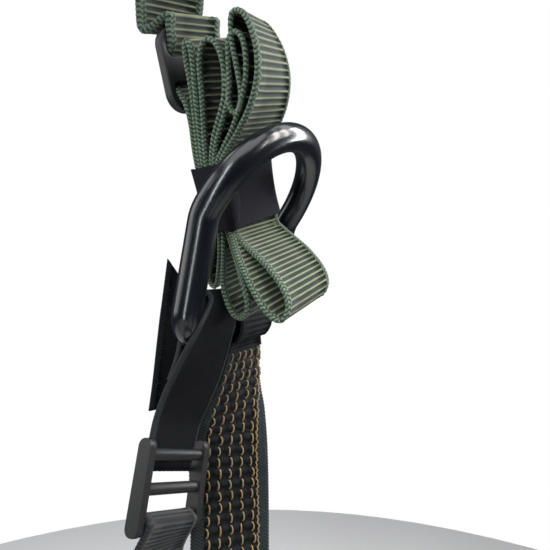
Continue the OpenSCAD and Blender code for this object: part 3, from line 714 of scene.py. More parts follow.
def legStrap(side):
    # up from the ladder slide, over the inner half of the bar, and back down in front of it
    near = [
        (25.2, -26.8, -45.0), (27.4, -26.2, -41.0), (26.6, -25.2, -36.5), (25.4, -23.6, -28),
        (25.8, -20.6, -19.5), (27.6, -16.8, -12), (29.4, -13.6, -6), (30.6, -10.4, -0.5), (30.2, -7.6, 4.6),
        (27.0, -5.6, 9.2), (22.6, -5.0, 12.6), (18.6, -7.6, 14.2), (15.6, -12.6, 11.6), (15.0, -15.6, 5),
        (16.4, -16.6, -2), (19.5, -17.4, -8), (23.4, -19.4, -15)]
    far = [
        (6.2, -14.8, -53.5), (8.4, -14.2, -49.8), (7.3, -13.4, -45.5), (6.4, -11.2, -36), (7.5, -7.2, -27.1),
        (8.5, -3.4, -17.9), (10, -0.6, -9), (11.6, 1.1, -2.4), (10.4, 2.6, 3.6), (7.0, 3.6, 8.6),
        (3.4, 2.0, 12.4), (0.6, -1.0, 13.6), (-1.6, -5.2, 11), (-2.2, -7.4, 5), (-1.2, -8.2, -2),
        (1.5, -7.6, -8), (5.4, -6.4, -15)]
    return atHip(side, near), atHip(side, far)


legEndHeights = (24, -20)


def legEnd(side, angle, out):
    # where a strap lies on the leg loop: its last two points
    return [onLeg(side, angle, h * mm, out * mm) for h in legEndHeights]


def hipStrap(side):
    # from the sleeve down to the leg loop, turning face on as it goes
    right = [(-20, 10, -9.5), (-18, 9.8, -19), (-16.5, 10.8, -28), (-14.5, 12.6, -37), (-10.8, 14, -54),
        (-6, 14.5, -80), (8, 14.5, -120), (18, 14.5, -148)]
    left = [(1.6, -1.6, -9.5), (0.4, -4.0, -18), (0.0, -8.6, -29), (0.4, -13.0, -38), (0.8, -16.2, -51),
        (3, -15.5, -80), (12, -15.5, -120), (20, -15.5, -148)]
    return [np.vstack([atHip(side, edge), legEnd(side, angle, 1.6)]) for edge, angle in ((right, 176), (left, 193))]


def basketCells(s, v, height):
    # turns the ribs into rows of small woven cells, every other row shifted by half a cell, with painted shade in the
    # cells' hollows
    row = np.floor(s / loopedLook["pitch"])
    cell = np.abs(np.sin(math.pi * (v / 4.5 + 0.5 * (row % 2)))) ** 0.6
    cell = np.where(np.abs(v) < 11, cell, 1.0)
    return (cell - 1) * 0.45, 0.35 + 0.65 * cell


for side in sides:
    one, two = legStrap(side)
    strap = makeStrap("legStrap_" + side, one, two, twillLook, webbingMaterials["twill"])
    finishPiece(strap, "saddle", "black_webbing", "leg_strap_" + side)

    one = atHip(side, aroundBar(sleevePlace["outer"]) + [(-20.2, 10.8, -10.4)])
    two = atHip(side, aroundBar(sleevePlace["inner"]) + [(2.2, -1.6, -10.6)])
    sleeve = makeStrap("barSleeve_" + side, one, two, sleeveLook, webbingMaterials["sleeve"])
    finishPiece(sleeve, "saddle", "sleeve_webbing", "bar_sleeve_" + side)

    one, two = hipStrap(side)
    strap = makeStrap("hipStrap_" + side, one, two, loopedLook, webbingMaterials["looped"], basketCells)
    finishPiece(strap, "saddle", "patterned_webbing", "hip_strap_" + side)
print("bar straps made")

# tan loops of thread on the hip strap

tanLook = {"thread": 0.3, "rows": 4.3, "columns": 5.5, "count": 5, "arch": 1.5, "tall": 3.3, "first": -9.2, "top": 1.6,
    "bottom": 118.0, "around": 6, "zigPlace": 10.9, "zigStep": 1.1}


def joinedTubes(name, lines, radius, around):
    # many short round threads in one mesh
    points, faces = [], []
    for line in lines:
        along = headings(line)
        side = unit(np.cross(along, (0.31, 0.17, 0.93)))
        up = np.cross(along, side)
        angle = np.linspace(0, 2 * math.pi, around, endpoint=False)
        ring = side[:, None] * np.cos(angle)[None, :, None] + up[:, None] * np.sin(angle)[None, :, None]
        ring = line[:, None] + radius * ring
        base = len(points)
        points.extend(ring.reshape(-1, 3).tolist())
        faces.extend([[base + i for i in face] for face in closedTube(len(line), around)])
    count = len(points)
    # the threads are painted fully lit
    return makeMesh(name, points, faces, {"crest": np.ones(count), "edge": np.zeros(count),
        "run": np.arange(count) * 0.05, "across": np.arange(count) * 0.05})


def strapFrame(one, two):
    middle, across, normal, widths = strapLines(one, two, 0.5)
    return middle, across, normal, runAlong(middle) / mm


def onStrap(ground, s, v, up):
    # a place on a strap: s along, v across and up off its middle layer, in mm
    middle, across, normal, run = ground
    at = np.array([[np.interp(s, run, line[:, k]) for k in range(3)] for line in (middle, across, normal)])
    return at[0] + (at[1] * v + at[2] * up) * mm


def facingSide(ground, s, towards):
    # 1 if the strap's own up looks towards a direction, else -1
    return 1 if (onStrap(ground, s, 0, 1) - onStrap(ground, s, 0, 0)) @ np.array(towards) > 0 else -1


def tanLoops(side, one, two):
    lines = []
    ground = strapFrame(one, two)
    facing = facingSide(ground, 30, (mirrored(side), 0, 0))
    up = facing * (loopedLook["thick"] / 2 + 0.1)
    rows = int((tanLook["bottom"] - tanLook["top"]) / tanLook["rows"])
    for row in range(rows):
        s = tanLook["top"] + row * tanLook["rows"]
        for column in range(tanLook["count"]):
            v = tanLook["first"] + column * tanLook["columns"] * 0.82
            lean = 0.5 * math.sin(row * 2.3 + column * 1.7)
            bow = 0.55 + 0.35 * math.sin(row * 1.3 + column * 2.9)
            arch = [(0.0, -0.4 * bow, -0.3), (0.3, 0.1, 0.3), (0.9, 0.5 * bow, 0.5), (1.7, 0.7 * bow, 0.5),
                (2.5, 0.45 * bow, 0.45), (3.0, 0.05, 0.2), (3.2, -0.3 * bow, -0.3)]
            lines.append(np.array([onStrap(ground, s + a * tanLook["tall"] / 3.2,
                v + lean + b * tanLook["arch"] * 0.5, up + facing * c) for a, b, c in arch]))
    # a running zigzag just inside one selvedge
    zig = []
    for k in range(int((tanLook["bottom"] - tanLook["top"]) / tanLook["zigStep"])):
        s = tanLook["top"] + tanLook["zigStep"] * k
        v = tanLook["zigPlace"] + (0.3 + 0.2 * math.sin(k * 1.9)) * (-1) ** k
        zig.append(onStrap(ground, s, v, up + facing * (0.1 + 0.3 * math.sin(k * 0.8))))
    lines.append(np.array(zig))
    threads = joinedTubes("tanThreads_" + side, lines, tanLook["thread"] * mm, tanLook["around"])
    threads.data.materials.append(webbingMaterials["tanThread"])
    finishPiece(threads, "saddle", "patterned_webbing")


for side in sides:
    tanLoops(side, *hipStrap(side)[::-1])
print("tan loops sewn")

# stitching

stitchLook = {"length": 2.6, "gap": 1.0, "thread": 0.35, "around": 6}


def stitchLine(points):
    # short raised stitches along a line of points, in metres
    line = smoothLine(points, 0.0003)
    run = runAlong(line) / mm
    out, s = [], 0.4
    while s + stitchLook["length"] < run[-1]:
        marks = np.linspace(s, s + stitchLook["length"], 5)
        out.append(np.stack([np.interp(marks, run, line[:, k]) for k in range(3)], 1))
        s += stitchLook["length"] + stitchLook["gap"]
    return out


def sewnBox(ground, s0, s1, half, up):
    # a box stitch with its two diagonals
    corners = [(s0, -half), (s1, -half), (s1, half), (s0, half), (s0, -half)]
    lines = []
    for (a, b), (c, d) in list(zip(corners, corners[1:])) + [((s0, -half), (s1, half)), ((s0, half), (s1, -half))]:
        steps = np.linspace(0, 1, 12)[:, None]
        route = np.array((a, b)) * (1 - steps) + np.array((c, d)) * steps
        lines += stitchLine([onStrap(ground, q[0], q[1], up) for q in route])
    return lines


def sew(name, lines, body, slot):
    thread = joinedTubes(name, lines, stitchLook["thread"] * mm, stitchLook["around"])
    thread.data.materials.append(webbingMaterials["stitch"])
    return finishPiece(thread, body, slot)


# plain black and green straps

beltLook = {"thick": 2.0, "pitch": 2.2, "ribHeight": 0.40, "step": 0.5, "border": 2.2, "columns": 5, "borderColumns": 3,
    "edgeSteps": 4, "knitHeight": 0.3, "stitch": 1.6, "column": 1.2}
blackLook = {"thick": 1.9, "pitch": 1.8, "ribHeight": 0.32, "step": 0.42, "border": 1.8, "columns": 5, "borderColumns": 2,
    "edgeSteps": 4, "knitHeight": 0.22, "stitch": 1.4, "column": 1.1}
tailLook = {"thick": 1.7, "pitch": 0.8, "ribHeight": 0.10, "step": 0.25, "border": 1.2, "columns": 12, "borderColumns": 2,
    "edgeSteps": 4, "knitHeight": 0.12, "stitch": 1.0, "column": 0.9, "roundness": 0.9}
blackThreads, greenThreads = [], []

slidePlace = {"at": (16.4, -18.3, -43.5), "turn": (-6, 20, 148), "lowBar": -22, "half": 12.5, "wrap": 3.05}
slideAxes = np.array(Euler([math.radians(a) for a in slidePlace["turn"]]).to_matrix())


def roundLowBar(across):
    # one edge of the strap that hangs from the slide's lowest bar: up behind it, over and down in front
    w = slidePlace["wrap"]
    forward = 1 if slideAxes[0, 1] > 0 else -1
    route = ((-w, -4.0), (-w, 0), (-0.7 * w, 0.7 * w), (0, w), (0.7 * w, 0.7 * w), (w, 0))
    points = [np.array((across, forward * y, slidePlace["lowBar"] + z)) for y, z in route]
    return [slideAxes @ point + slidePlace["at"] for point in points]


# the riser's way through the adjuster, in the folded tail's own directions
riserThread = [(-10.6, -41.5), (-12.6, -43.0), (-13.9, -46), (-13.9, -50), (-12.6, -53), (-10.6, -55),
    (-8.6, -57.5), (-7.6, -62), (-7.4, -66)]
linkLook = {"angle": 231, "height": 67, "out": 1.3, "turn": -30, "half": 9.0, "loop": 5.3, "drop": 22,
    "climb": (6, 40, 80, 106), "from": 26.5, "thick": 1.7}


def acrossPath(side, path, way, half):
    # a strap's two edges, to either side of its middle path
    return [atSaddle(side, [q + way * w for q in path]) for w in (-half, half)]


for side in sides:
    # cut tail of the leg strap, and the strap from the slide to the leg loop
    near = [(-7.5, -26, 26), (-6.6, -28, 10), (-6, -29, 2), (-4, -30, -10), (0, -30.5, -22), (4, -31, -32)]
    far = [(-18, -8, -4), (-17.8, -8.4, -6), (-17.6, -9, -9), (-17, -10, -14), (-15, -11, -23), (-13, -13, -32)]
    tail = makeStrap("cutTail_" + side, atHip(side, near), atHip(side, far), tailLook, webbingMaterials["plain"])
    lower = roundLowBar(-slidePlace["half"]) + [(32.5, -31, -74), (28, -37, -92), (28, -42, -120), (30, -44, -148)]
    inner = roundLowBar(slidePlace["half"]) + [(12.5, -16.5, -79), (11, -18.6, -94), (16, -20, -120),
        (20, -20.5, -148)]
    one = np.vstack([atHip(side, lower), legEnd(side, 211, 1.5)])
    two = np.vstack([atHip(side, inner), legEnd(side, 197, 1.5)])
    strap = makeStrap("legSlideStrap_" + side, one, two, blackLook, webbingMaterials["black"])
    joinPieces(tail, strap)
    finishPiece(tail, "saddle", "black_webbing", "leg_tail_" + side)

    # green riser: out of the adjuster, up and flat against the belt
    one = [(11, -31, 107), (13, -32, 117), (16, -32.5, 130)]
    two = [(-6, -14, 113), (-5, -11, 121), (4, -9, 132)]
    one = np.vstack([atHip(side, one), [onBelt(side, 194.5, h, 1.6) for h in (-48, -20, 21)]])
    two = np.vstack([atHip(side, two), [onBelt(side, 183.4, h, 1.6) for h in (-46, -20, 21)]])
    low1, low2 = [inBundle(side, [(a, b, w) for a, b in riserThread])
        for w in (-bundleLook["halfWidth"], bundleLook["halfWidth"])]
    riser = makeStrap("riser_" + side + "Webbing", np.vstack([low1, one]), np.vstack([low2, two]), beltLook,
        webbingMaterials["green"])
    finishPiece(riser, "saddle", "green_webbing", "riser_" + side)
    ground = strapFrame(one, two)
    facing = facingSide(ground, 80, (-mirrored(side), 0, 0))
    greenThreads += sewnBox(ground, ground[3][-1] - 38, ground[3][-1] - 4, 9, facing * 1.35)

    # strap up from the link to the belt, and down to the leg loop
    look = linkLook
    turn = math.radians(look["angle"])
    linkAt = np.array(((beltA / mm + look["out"]) * math.cos(turn), (beltB / mm + look["out"]) * math.sin(turn),
        look["height"]))
    turn = math.radians(look["turn"])
    sideways = np.array((math.cos(turn), math.sin(turn), 0))
    outward = np.array((math.sin(turn), -math.cos(turn), 0))
    ring = [(look["loop"] * math.cos(math.radians(a)), look["drop"] + look["loop"] * math.sin(math.radians(a)))
        for a in range(70, -251, -20)]
    links = []
    for name, flip in (("linkLoopUp_", 1), ("linkLoopDown_", -1)):
        path = [linkAt + outward * o + np.array((0, 0, z * flip)) for o, z in ring]
        one, two = acrossPath(side, path, sideways, look["half"])
        links.append(makeStrap(name + side, one, two, dict(blackLook, thick=look["thick"]), webbingMaterials["black"]))
    heights = [look["from"]] + [look["drop"] + look["loop"] + z for z in look["climb"]]
    one, two = acrossPath(side, [linkAt + np.array((0, 0, z)) for z in heights], sideways, look["half"])
    riseStrap = makeStrap("linkStrapUp_" + side, one, two, blackLook, webbingMaterials["black"])
    one = [(linkAt[0] + 8, linkAt[1] - 4.6, 40.0), (-106, -102, 20), (-122, -87, -60), (-142, -72, -130)]
    two = [(linkAt[0] - 8, linkAt[1] + 4.6, 40.0), (-122.5, -92.5, 20), (-138, -76, -60), (-156, -57, -130)]
    one = np.vstack([atSaddle(side, one), legEnd(side, 226, 1.5)])
    two = np.vstack([atSaddle(side, two), legEnd(side, 214, 1.5)])
    fall = makeStrap("linkStrapDown_" + side, one, two, blackLook, webbingMaterials["black"])
    joinPieces(riseStrap, *links, fall)
    finishPiece(riseStrap, "saddle", "black_webbing", "link_straps_" + side)

    # rear riser from the belt to the leg loop
    one = [onBelt(side, 113.4, h, 1.3) for h in (20, -22, -60)]
    one = np.vstack([one, atSaddle(side, [(-82, 119, 0), (-98, 116, -120)]), legEnd(side, 97, 2.7)])
    two = [onBelt(side, 104.8, h, 1.3) for h in (20, -22, -60)]
    two = np.vstack([two, atSaddle(side, [(-58, 121, 0), (-74, 117, -124)]), legEnd(side, 82, 2.7)])
    rear = makeStrap("rearRiser_" + side, one, two, blackLook, webbingMaterials["black"])
    if side == "right":
        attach(rear, "saddle")
    else:
        finishPiece(rear, "saddle", "black_webbing", "rear_risers")
    ground = strapFrame(one, two)
    facing = facingSide(ground, 20, (0, 1, 0))
    blackThreads += sewnBox(ground, 4, 38, 8, facing * 1.25)
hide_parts("rear_risers")
print("risers, link straps and leg tails made")

# belt webbing and its front straps

beltUp = (beltZ - saddleAt[2]) / mm
beltHalf = 22.5  # half the width of the belt's and leg loops' webbing
angles = np.linspace(-62, 242, 153)
one, two = [[onBelt("left", a, h, -1) for a in angles] for h in (beltHalf, -beltHalf)]
webbing = makeStrap("beltBand", one, two, beltLook, webbingMaterials["green"])
finishPiece(webbing, "saddle", "green_webbing", "belt_webbing")


def middleOf(node):
    # how far a front piece's middle layer lies from the middle of the saddle, in mm
    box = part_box(node)
    return ((box[0].y + box[1].y) / 2 - saddleAt[1]) / mm


def frontStrap(side, xs, body):
    # a straight strap along the front of the belt
    y = middleOf("belt_strap_" + side)
    one, two = [atSaddle("right", [(x, y, beltUp + w) for x in xs]) for w in (beltHalf, -beltHalf)]
    strap = makeStrap("frontStrap_" + side, one, two, beltLook, webbingMaterials["green"])
    finishPiece(strap, body, "green_webbing", "belt_strap_" + side)
    return one, two


frontStrap("right", np.linspace(-86.3, -36.2, 6), "saddle")
one, two = frontStrap("left", np.linspace(22.4, 110.2, 8), "belt_tongue")
ground = strapFrame(one, two)
facing = facingSide(ground, 20, (0, -1, 0))
sew("frontStrapThreads", sewnBox(ground, 4, 20, 17, facing * 0.9), "belt_tongue", "green_webbing")

# elastic keeper round the end of the front strap
beltKeeperLook = dict(blackLook, thick=0.9, pitch=1.0, ribHeight=0.14, step=0.25, border=0.8, borderColumns=1,
    columns=8)
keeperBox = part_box("belt_keeper")
yMid = middleOf("belt_keeper")
half = [(-1.2, -23.9), (-1.8, -23.0), (-1.8, -12), (-1.8, 0), (-1.8, 12), (-1.8, 23.0), (-1.2, 23.9)]
loop = [(0.0, -24.0)] + half + [(0, 24.0)] + [(-y, z) for y, z in half[::-1]] + [(0.0, -24.0)]
x0, x1 = [(keeperBox[k].x - saddleAt[0]) / mm for k in (0, 1)]
one, two = [atSaddle("right", [(x, yMid + y, beltUp + z) for y, z in loop]) for x in (x0 + 0.3, x1 - 0.3)]
elastic = makeStrap("beltElastic", one, two, beltKeeperLook, webbingMaterials["elastic"])
finishPiece(elastic, "belt_keeper", "elastic", "belt_keeper")
print("belt made")

# leg loops' webbing and front straps

legWebbing = {"open": 52, "out": 0.0103, "intoSocket": (36.3, 42, 47.0), "front": (-22.4, -68.2)}
legAngles = np.linspace(-legWebbing["open"], 180 + legWebbing["open"], 121)
frontLegY = -(legSize["insideB"] + legWebbing["out"]) * math.sin(math.radians(legWebbing["open"]))
for side in sides:
    # the front end runs straight on into the socket
    one, two = [np.vstack([inLeg(side, [(x * mm, frontLegY - 0.0012, h) for x in legWebbing["intoSocket"]]),
        [onLeg(side, a, h, -0.001) for a in legAngles]]) for h in (beltHalf * mm, -beltHalf * mm)]
    band = makeStrap("legBand_" + side, one, two, beltLook, webbingMaterials["green"])
    finishPiece(band, "saddle", "green_webbing", "leg_webbing_" + side)
    xs = np.linspace(*legWebbing["front"], 5) * mm
    one, two = [inLeg(side, [(x, frontLegY - 0.0055, h) for x in xs]) for h in (beltHalf * mm, -beltHalf * mm)]
    tongueStrap = makeStrap("legFrontStrap_" + side, one, two, beltLook, webbingMaterials["green"])
    finishPiece(tongueStrap, "leg_tongue_" + side, "green_webbing", "leg_front_strap_" + side)
    ground = strapFrame(one, two)
    facing = facingSide(ground, 20, (0, -1, 0))
    sew("legFrontThreads_" + side, sewnBox(ground, 4, 18, 17, facing * 0.9), "leg_tongue_" + side, "green_webbing")
print("leg webbing made")

# padding: closed quilted bands, swelled by a cloth simulation

padLook = {"voxel": 0.003, "pressure": 4.0, "frames": 20, "cap": 0.0012, "thin": 0.0030, "channel": 0.0016,
    "corner": 0.03, "rise": 0.0002, "bindingRise": -0.0011}


def padBlank(name, place, half, thick, angles):
    # place(angle, height, inside) gives a point; half(share) is the pad's half height along it
    rows, cols = 190, 20
    points = []
    for i in range(rows + 1):
        share = i / rows
        angle = angles[0] + (angles[1] - angles[0]) * share
        h = half(share)
        # one closed ring round the section at each place
        for j in range(2 * cols):
            t = 2 * math.pi * j / (2 * cols)
            up = math.copysign(abs(math.cos(t)) ** 0.55, math.cos(t)) * h
            across = math.copysign(abs(math.sin(t)) ** 0.55, math.sin(t)) * thick / 2
            points.append(place(angle, up, across))
    return makeMesh(name, points, closedTube(rows + 1, 2 * cols))


def swell(piece):
    # remesh, inflate a little, hold each point near where it began, and keep the result
    bpy.context.view_layer.objects.active = piece
    bpy.ops.object.select_all(action="DESELECT")
    piece.select_set(True)
    remesh = piece.modifiers.new("remesh", "REMESH")
    remesh.mode = "VOXEL"
    remesh.voxel_size = padLook["voxel"]
    bpy.ops.object.modifier_apply(modifier="remesh")
    before = np.zeros(len(piece.data.vertices) * 3)
    piece.data.vertices.foreach_get("co", before)
    before = before.reshape(-1, 3)
    cloth = piece.modifiers.new("cloth", "CLOTH")
    cloth.settings.use_pressure = True
    cloth.settings.uniform_pressure_force = padLook["pressure"]
    cloth.settings.effector_weights.gravity = 0
    cloth.settings.quality = 5
    cloth.collision_settings.use_collision = False
    for step in range(1, padLook["frames"] + 1):
        bpy.context.scene.frame_set(step)
    bpy.ops.object.modifier_apply(modifier="cloth")
    bpy.context.scene.frame_set(1)
    after = np.zeros_like(before).ravel()
    piece.data.vertices.foreach_get("co", after)
    after = after.reshape(-1, 3)
    move = after - before
    far = np.linalg.norm(move, axis=1, keepdims=True)
    after = before + move * np.minimum(1, padLook["cap"] / np.maximum(far, 1e-9))
    piece.data.vertices.foreach_set("co", after.ravel())
    piece.data.update()
    smooth = piece.modifiers.new("subdivide", "SUBSURF")
    smooth.levels = smooth.render_levels = 1
    bpy.ops.object.modifier_apply(modifier="subdivide")
    piece.data.shade_smooth()
    return piece


def sewChannels(piece, measure, halfThick, lines):
    # presses the sewn lines in; measure gives each point's place along, height and depth from the middle layer
    count = len(piece.data.vertices)
    co = np.zeros(count * 3)
    piece.data.vertices.foreach_get("co", co)
    co = co.reshape(-1, 3)
    along, height, depth, outward = measure(co)
    press = np.zeros(count)
    for line in lines:
        press = np.maximum(press, np.exp(-(line(along, height) / 0.0022) ** 2))
    side = np.sign(depth)
    pushed = side * press * padLook["channel"] * np.minimum(1, np.abs(depth) / (0.5 * halfThick))
    co = co - outward * pushed[:, None]
    piece.data.vertices.foreach_set("co", co.ravel())
    piece.data.update()


def ovalMeasure(local, a, b):
    # local: points in the oval's own frame
    angle = np.degrees(np.arctan2(local[:, 1] / b, local[:, 0] / a))
    angle = np.where(angle < -90, angle + 360, angle)
    c, s = np.cos(np.radians(angle)), np.sin(np.radians(angle))
    outward = unit(np.stack([c / a, s / b, np.zeros(len(local))], 1))
    depth = (local[:, 0] - a * c) * outward[:, 0] + (local[:, 1] - b * s) * outward[:, 1]
    return angle, local[:, 2], depth, outward


def endTaper(share, full, narrow, corner):
    # half height along the pad: full in the middle, narrower and rounded at its ends
    near = min(share, 1 - share)
    width = narrow + (full - narrow) * min(1, near / 0.22) ** 0.8 if near < 0.22 else full
    if near < corner:
        width *= max(0.12, math.sqrt(max(0.0, 1 - (1 - near / corner) ** 2)))
    return width


padSizes = {"belt": {"a": 0.169, "b": 0.119, "thick": 0.0096, "full": 0.0445, "narrow": 0.034, "angles": (-37.2, 217.2)},
    "leg": {"a": 0.077, "b": 0.093, "thick": 0.0096, "full": 0.0258, "narrow": 0.021, "angles": (-29, 209)}}


def bindingRoute(look, rise):
    # closed route round a pad's edge: angle and height
    a0, a1 = look["angles"]
    shares = np.concatenate([np.linspace(0.004, 0.03, 10), np.linspace(0.04, 0.96, 90),
        np.linspace(0.97, 0.996, 10)])
    halves = np.array([endTaper(q, look["full"], look["narrow"], padLook["corner"]) for q in shares]) + rise
    angle = a0 + (a1 - a0) * shares
    top = list(zip(angle, halves))
    bottom = list(zip(angle[::-1], -halves[::-1]))
    return top + bottom + top[:1]


bindingLook = {"thick": 0.9, "pitch": 1.2, "ribHeight": 0.14, "step": 0.6, "border": 1.0, "columns": 6,
    "borderColumns": 1, "edgeSteps": 4, "knitHeight": 0.1, "stitch": 1.2, "column": 1.0}


def makePad(name, kind, side, body, slotName, node, material, chamber):
    look = padSizes[kind]

    def place(angle, up, across):
        a = math.radians(angle)
        flat = unit(np.array((math.cos(a) / look["a"], math.sin(a) / look["b"])))
        q = np.array((look["a"] * math.cos(a) + flat[0] * across, look["b"] * math.sin(a) + flat[1] * across,
            up))
        return saddleAt + q + (0, 0, beltUp * mm) if kind == "belt" else inLeg(side, [q])[0]

    rise = padLook["rise"]
    blank = padBlank(name, place, lambda q: endTaper(q, look["full"] + rise, look["narrow"] + rise, padLook["corner"]),
        look["thick"] - padLook["thin"] + 0.0008, look["angles"])
    swell(blank)

    def measure(co):
        if kind == "belt":
            local = co - saddleAt - (0, 0, beltUp * mm)
            return ovalMeasure(local, look["a"], look["b"])
        c, s = math.cos(legTilt), math.sin(legTilt)
        q = (co - (0, legSize["y"] + hipY, hipAt[side][2])) * (mirrored(side), 1, 1)
        x, z = q[:, 0] + legSize["x"], q[:, 2] + legSize["down"]
        local = np.stack([x * c - z * s, q[:, 1], z * c + x * s], 1)
        angle, height, depth, outward = ovalMeasure(local, look["a"], look["b"])
        turned = np.stack([outward[:, 0] * c * mirrored(side), outward[:, 1], -outward[:, 0] * s], 1)
        return angle, height, depth, turned

    lines = [lambda a, h, at=at: h - at for at in chamber["rows"]]
    lines += [lambda a, h, at=at: (a - at) * math.pi / 180 * look["b"] + 0 * h for at in chamber["columns"]]
    sewChannels(blank, measure, look["thick"] / 2, lines)
    blank.data.materials.clear()
    blank.data.materials.append(material)
    finishPiece(blank, body, slotName, node)
    route = bindingRoute(look, padLook["bindingRise"])
    half = look["thick"] / 2 - 0.0008
    one = [place(a, h, -half) for a, h in route]
    two = [place(a, h, half) for a, h in route]
    edge = makeStrap(name + "Binding", one, two, bindingLook, webbingMaterials["binding"])
    finishPiece(edge, body, slotName)


makePad("backCushion", "belt", "right", "saddle", "pad_fabric", "back_pad", padCover,
    {"rows": (-0.028, 0.028), "columns": (-10, 40, 66, 114, 140, 190)})
for side in sides:
    makePad("legCushion_" + side, "leg", side, "saddle", "pad_fabric", "leg_pad_" + side, padCover,
        {"rows": (0.0,), "columns": (10, 50, 90, 130, 170)})
print("pads swelled")

# mesh lining inside the back pad

liningLook = {"a": 0.1635, "b": 0.1135, "thick": 0.0009, "half": 0.0395, "narrow": 0.029, "angles": (-36.5, 216.5),
    "channels": (-0.013, 0.013), "cell": 0.0032, "dent": 0.00018, "groove": 0.0003}


def makeLining():
    look = liningLook
    rows, cols = 640, 52
    points = []
    for layer in (1, -1):
        for i in range(rows + 1):
            share = i / rows
            angle = look["angles"][0] + (look["angles"][1] - look["angles"][0]) * share
            a = math.radians(angle)
            c, s = math.cos(a), math.sin(a)
            flat = unit(np.array((c / look["a"], s / look["b"])))
            half = endTaper(share, look["half"], look["narrow"], padLook["corner"])
            for j in range(cols + 1):
                h = half * (2 * j / cols - 1)
                along = share * 0.62
                across = layer * look["thick"] / 2
                if layer == -1:
                    hollow = abs(math.sin(math.pi * along / look["cell"] + (j % 2) * 1.57))
                    across += look["dent"] * hollow * abs(math.sin(math.pi * h / look["cell"]))
                    sewn = sum(math.exp(-((h - at) / 0.0012) ** 2) for at in look["channels"])
                    across += look["groove"] * sewn
                points.append(saddleAt + np.array((look["a"] * c + flat[0] * across,
                    look["b"] * s + flat[1] * across, h + beltUp * mm)))
    faces = []
    row, total = cols + 1, (rows + 1) * (cols + 1)
    for i in range(rows):
        for j in range(cols):
            p = i * row + j
            faces.append((p, p + row, p + row + 1, p + 1))
            p += total
            faces.append((p + 1, p + row + 1, p + row, p))
    for i in range(rows):
        for j in (0, cols):
            p, q = i * row + j, i * row + j + row
            faces.append((p, q, q + total, p + total)[::(1 if j else -1)])
    for j in range(cols):
        for i in (0, rows):
            p, q = i * row + j, i * row + j + 1
            faces.append((p, q, q + total, p + total)[::(-1 if i else 1)])
    piece = makeMesh("meshLiningSheet", points, faces)
    piece.data.materials.append(meshCover)
    return finishPiece(piece, "saddle", "mesh_lining", "pad_lining")


makeLining()
print("lining made")

# sleeves that hold the gear loops to the belt

gearLook = {"angles": (22, 62, 118, 158), "out": 6, "span": 52, "half": 8.0, "thick": 1.2}
for count, angle in enumerate(gearLook["angles"]):
    a = math.radians(angle)
    tangent = unit(np.array((-(beltA) * math.sin(a), beltB * math.cos(a), 0)))
    away = np.array((tangent[1], -tangent[0], 0))
    at = np.array(((beltA / mm + gearLook["out"]) * math.cos(a), (beltB / mm + gearLook["out"]) * math.sin(a), beltUp))
    for end in (-1, 1):
        centre = at + tangent * end * gearLook["span"] / 2
        # over the top of the loop's end: from the belt, out and down past it
        q = centre[:2] / (beltA / mm, beltB / mm)
        gap = (1 - 1 / np.linalg.norm(q)) * np.linalg.norm(centre[:2])
        profile = [(-gap + 1.0, 16), (-gap + 1.6, 8), (-gap * 0.2, 0), (3.0, -7), (4.7, -13), (4.9, -20),
            (4.4, -25), (3.2, -27.5)]
        path = [centre + away * o + np.array((0, 0, z)) for o, z in profile]
        one, two = acrossPath("right", path, tangent, gearLook["half"])
        sleeve = makeStrap("gearSleeve_%d_%d" % (count, (end + 1) // 2), one, two,
            dict(blackLook, thick=gearLook["thick"]), webbingMaterials["black"])
        finishPiece(sleeve, "saddle", "black_webbing")
print("gear sleeves made")

sew("blackStrapThreads", blackThreads, "saddle", "black_webbing")
sew("greenStrapThreads", greenThreads, "saddle", "green_webbing")

# rounded edges on the moulded and cast pieces

edgeLook = {"width": 0.0007, "segments": 2, "angle": 35}
for name, node in frame["nodes"].items():
    if any(word in name for word in ("socket", "tongue", "tab_", "adjuster", "front_loop")):
        weld = node.modifiers.new("weld", "WELD")
        weld.merge_threshold = 0.00001
        bevel = node.modifiers.new("roundedEdges", "BEVEL")
        bevel.width = edgeLook["width"]
        bevel.segments = edgeLook["segments"]
        bevel.limit_method = "ANGLE"
        bevel.angle_limit = math.radians(edgeLook["angle"])
        bevel.harden_normals = True
print("edges rounded")

# world, lights and floor

world = bpy.data.worlds.new("studio")
bpy.context.scene.world = world
world.use_nodes = True
paths = world.node_tree.nodes.new("ShaderNodeLightPath")
mixer = world.node_tree.nodes.new("ShaderNodeMixShader")
back = world.node_tree.nodes["Background"]
back.inputs["Color"].default_value = (0.75, 0.82, 1.0, 1)
back.inputs["Strength"].default_value = 0.07
seen = world.node_tree.nodes.new("ShaderNodeBackground")
seen.inputs["Color"].default_value = (1, 1, 1, 1)
seen.inputs["Strength"].default_value = 1.0
world.node_tree.links.new(paths.outputs["Is Camera Ray"], mixer.inputs[0])
world.node_tree.links.new(back.outputs[0], mixer.inputs[1])
world.node_tree.links.new(seen.outputs[0], mixer.inputs[2])
world.node_tree.links.new(mixer.outputs[0], world.node_tree.nodes["World Output"].inputs["Surface"])
bpy.context.scene.view_settings.view_transform = "Standard"

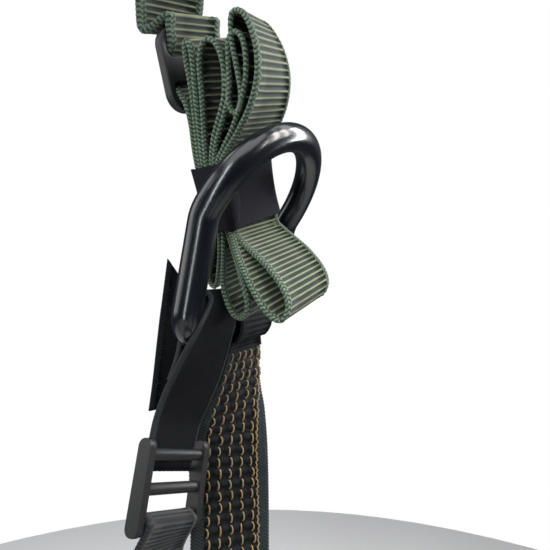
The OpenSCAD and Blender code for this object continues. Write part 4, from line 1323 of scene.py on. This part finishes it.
# each lamp: place and aim from the right hip in mm, size in metres, power in watts, colour
lamps = {
    "keyLeft": ((-5, 455, 420), (0, 10, 20), (0.045, 0.40), 1.5, (1, 0.98, 0.94)),
    "keyMiddle": ((120, 420, 420), (0, 10, 20), (0.06, 0.40), 2.2, (1, 0.98, 0.94)),
    "keyRight": ((240, 380, 420), (0, 10, 20), (0.045, 0.40), 1.5, (1, 0.98, 0.94)),
    "leftStrip": ((330, -85, 60), (20, -10, 20), (0.045, 0.45), 1.3, (0.88, 0.95, 1)),
    "crownStrip": ((-120, 330, 190), (-10, 20, 60), (0.05, 0.35), 2.4, (0.95, 0.97, 1)),
    "overhead": ((190, 0, 620), (190, 0, 0), (0.9, 0.9), 7, (1, 1, 1)),
    "frontFill": ((190, -900, 300), (190, 0, 0), (0.9, 0.9), 7, (1, 1, 1)),
}
for name, (place, aimedAt, size, power, colour) in lamps.items():
    data = bpy.data.lights.new(name, "AREA")
    data.shape = "RECTANGLE"
    data.size, data.size_y = size
    data.energy = power
    data.color = colour
    lamp = bpy.data.objects.new(name, data)
    bpy.context.scene.collection.objects.link(lamp)
    lamp.location = Vector(atHip("right", place)[0])
    aim = Vector(atHip("right", aimedAt)[0]) - lamp.location
    lamp.rotation_euler = aim.to_track_quat("-Z", "Y").to_euler()

floorLook = {"radius": 1.0, "below": 0.25}
bpy.ops.mesh.primitive_circle_add(vertices=96, radius=floorLook["radius"], fill_type="NGON",
    location=(0, 0.2, cadBounds[0].z - floorLook["below"]))
floor = bpy.context.active_object
floor.name = "floor"
material, tree, shader = newMaterial("paleFloor", 0.9)
pale = blendColours(tree, noise(tree, 3), (0.86, 0.86, 0.86, 1), (0.9, 0.9, 0.9, 1))
tree.links.new(pale, shader.inputs["Base Color"])
floor.data.materials.append(material)

# CAD pieces that keep their shape

finishes = {"coated_metal": "coated", "buckle_metal": "buckle", "tab_metal": "tab", "swivel_metal": "swivel",
    "steel": "steel", "washer_brass": "brass", "adjuster_coating": "slide", "loop_plastic": "moulded"}
slotOf = {part["node"]: part["material_slot"] for part in frame["record"]["subparts"]}
for name, node in frame["nodes"].items():
    if slotOf[name] in finishes:
        node.data.materials.clear()
        node.data.materials.append(metals[finishes[slotOf[name]]])
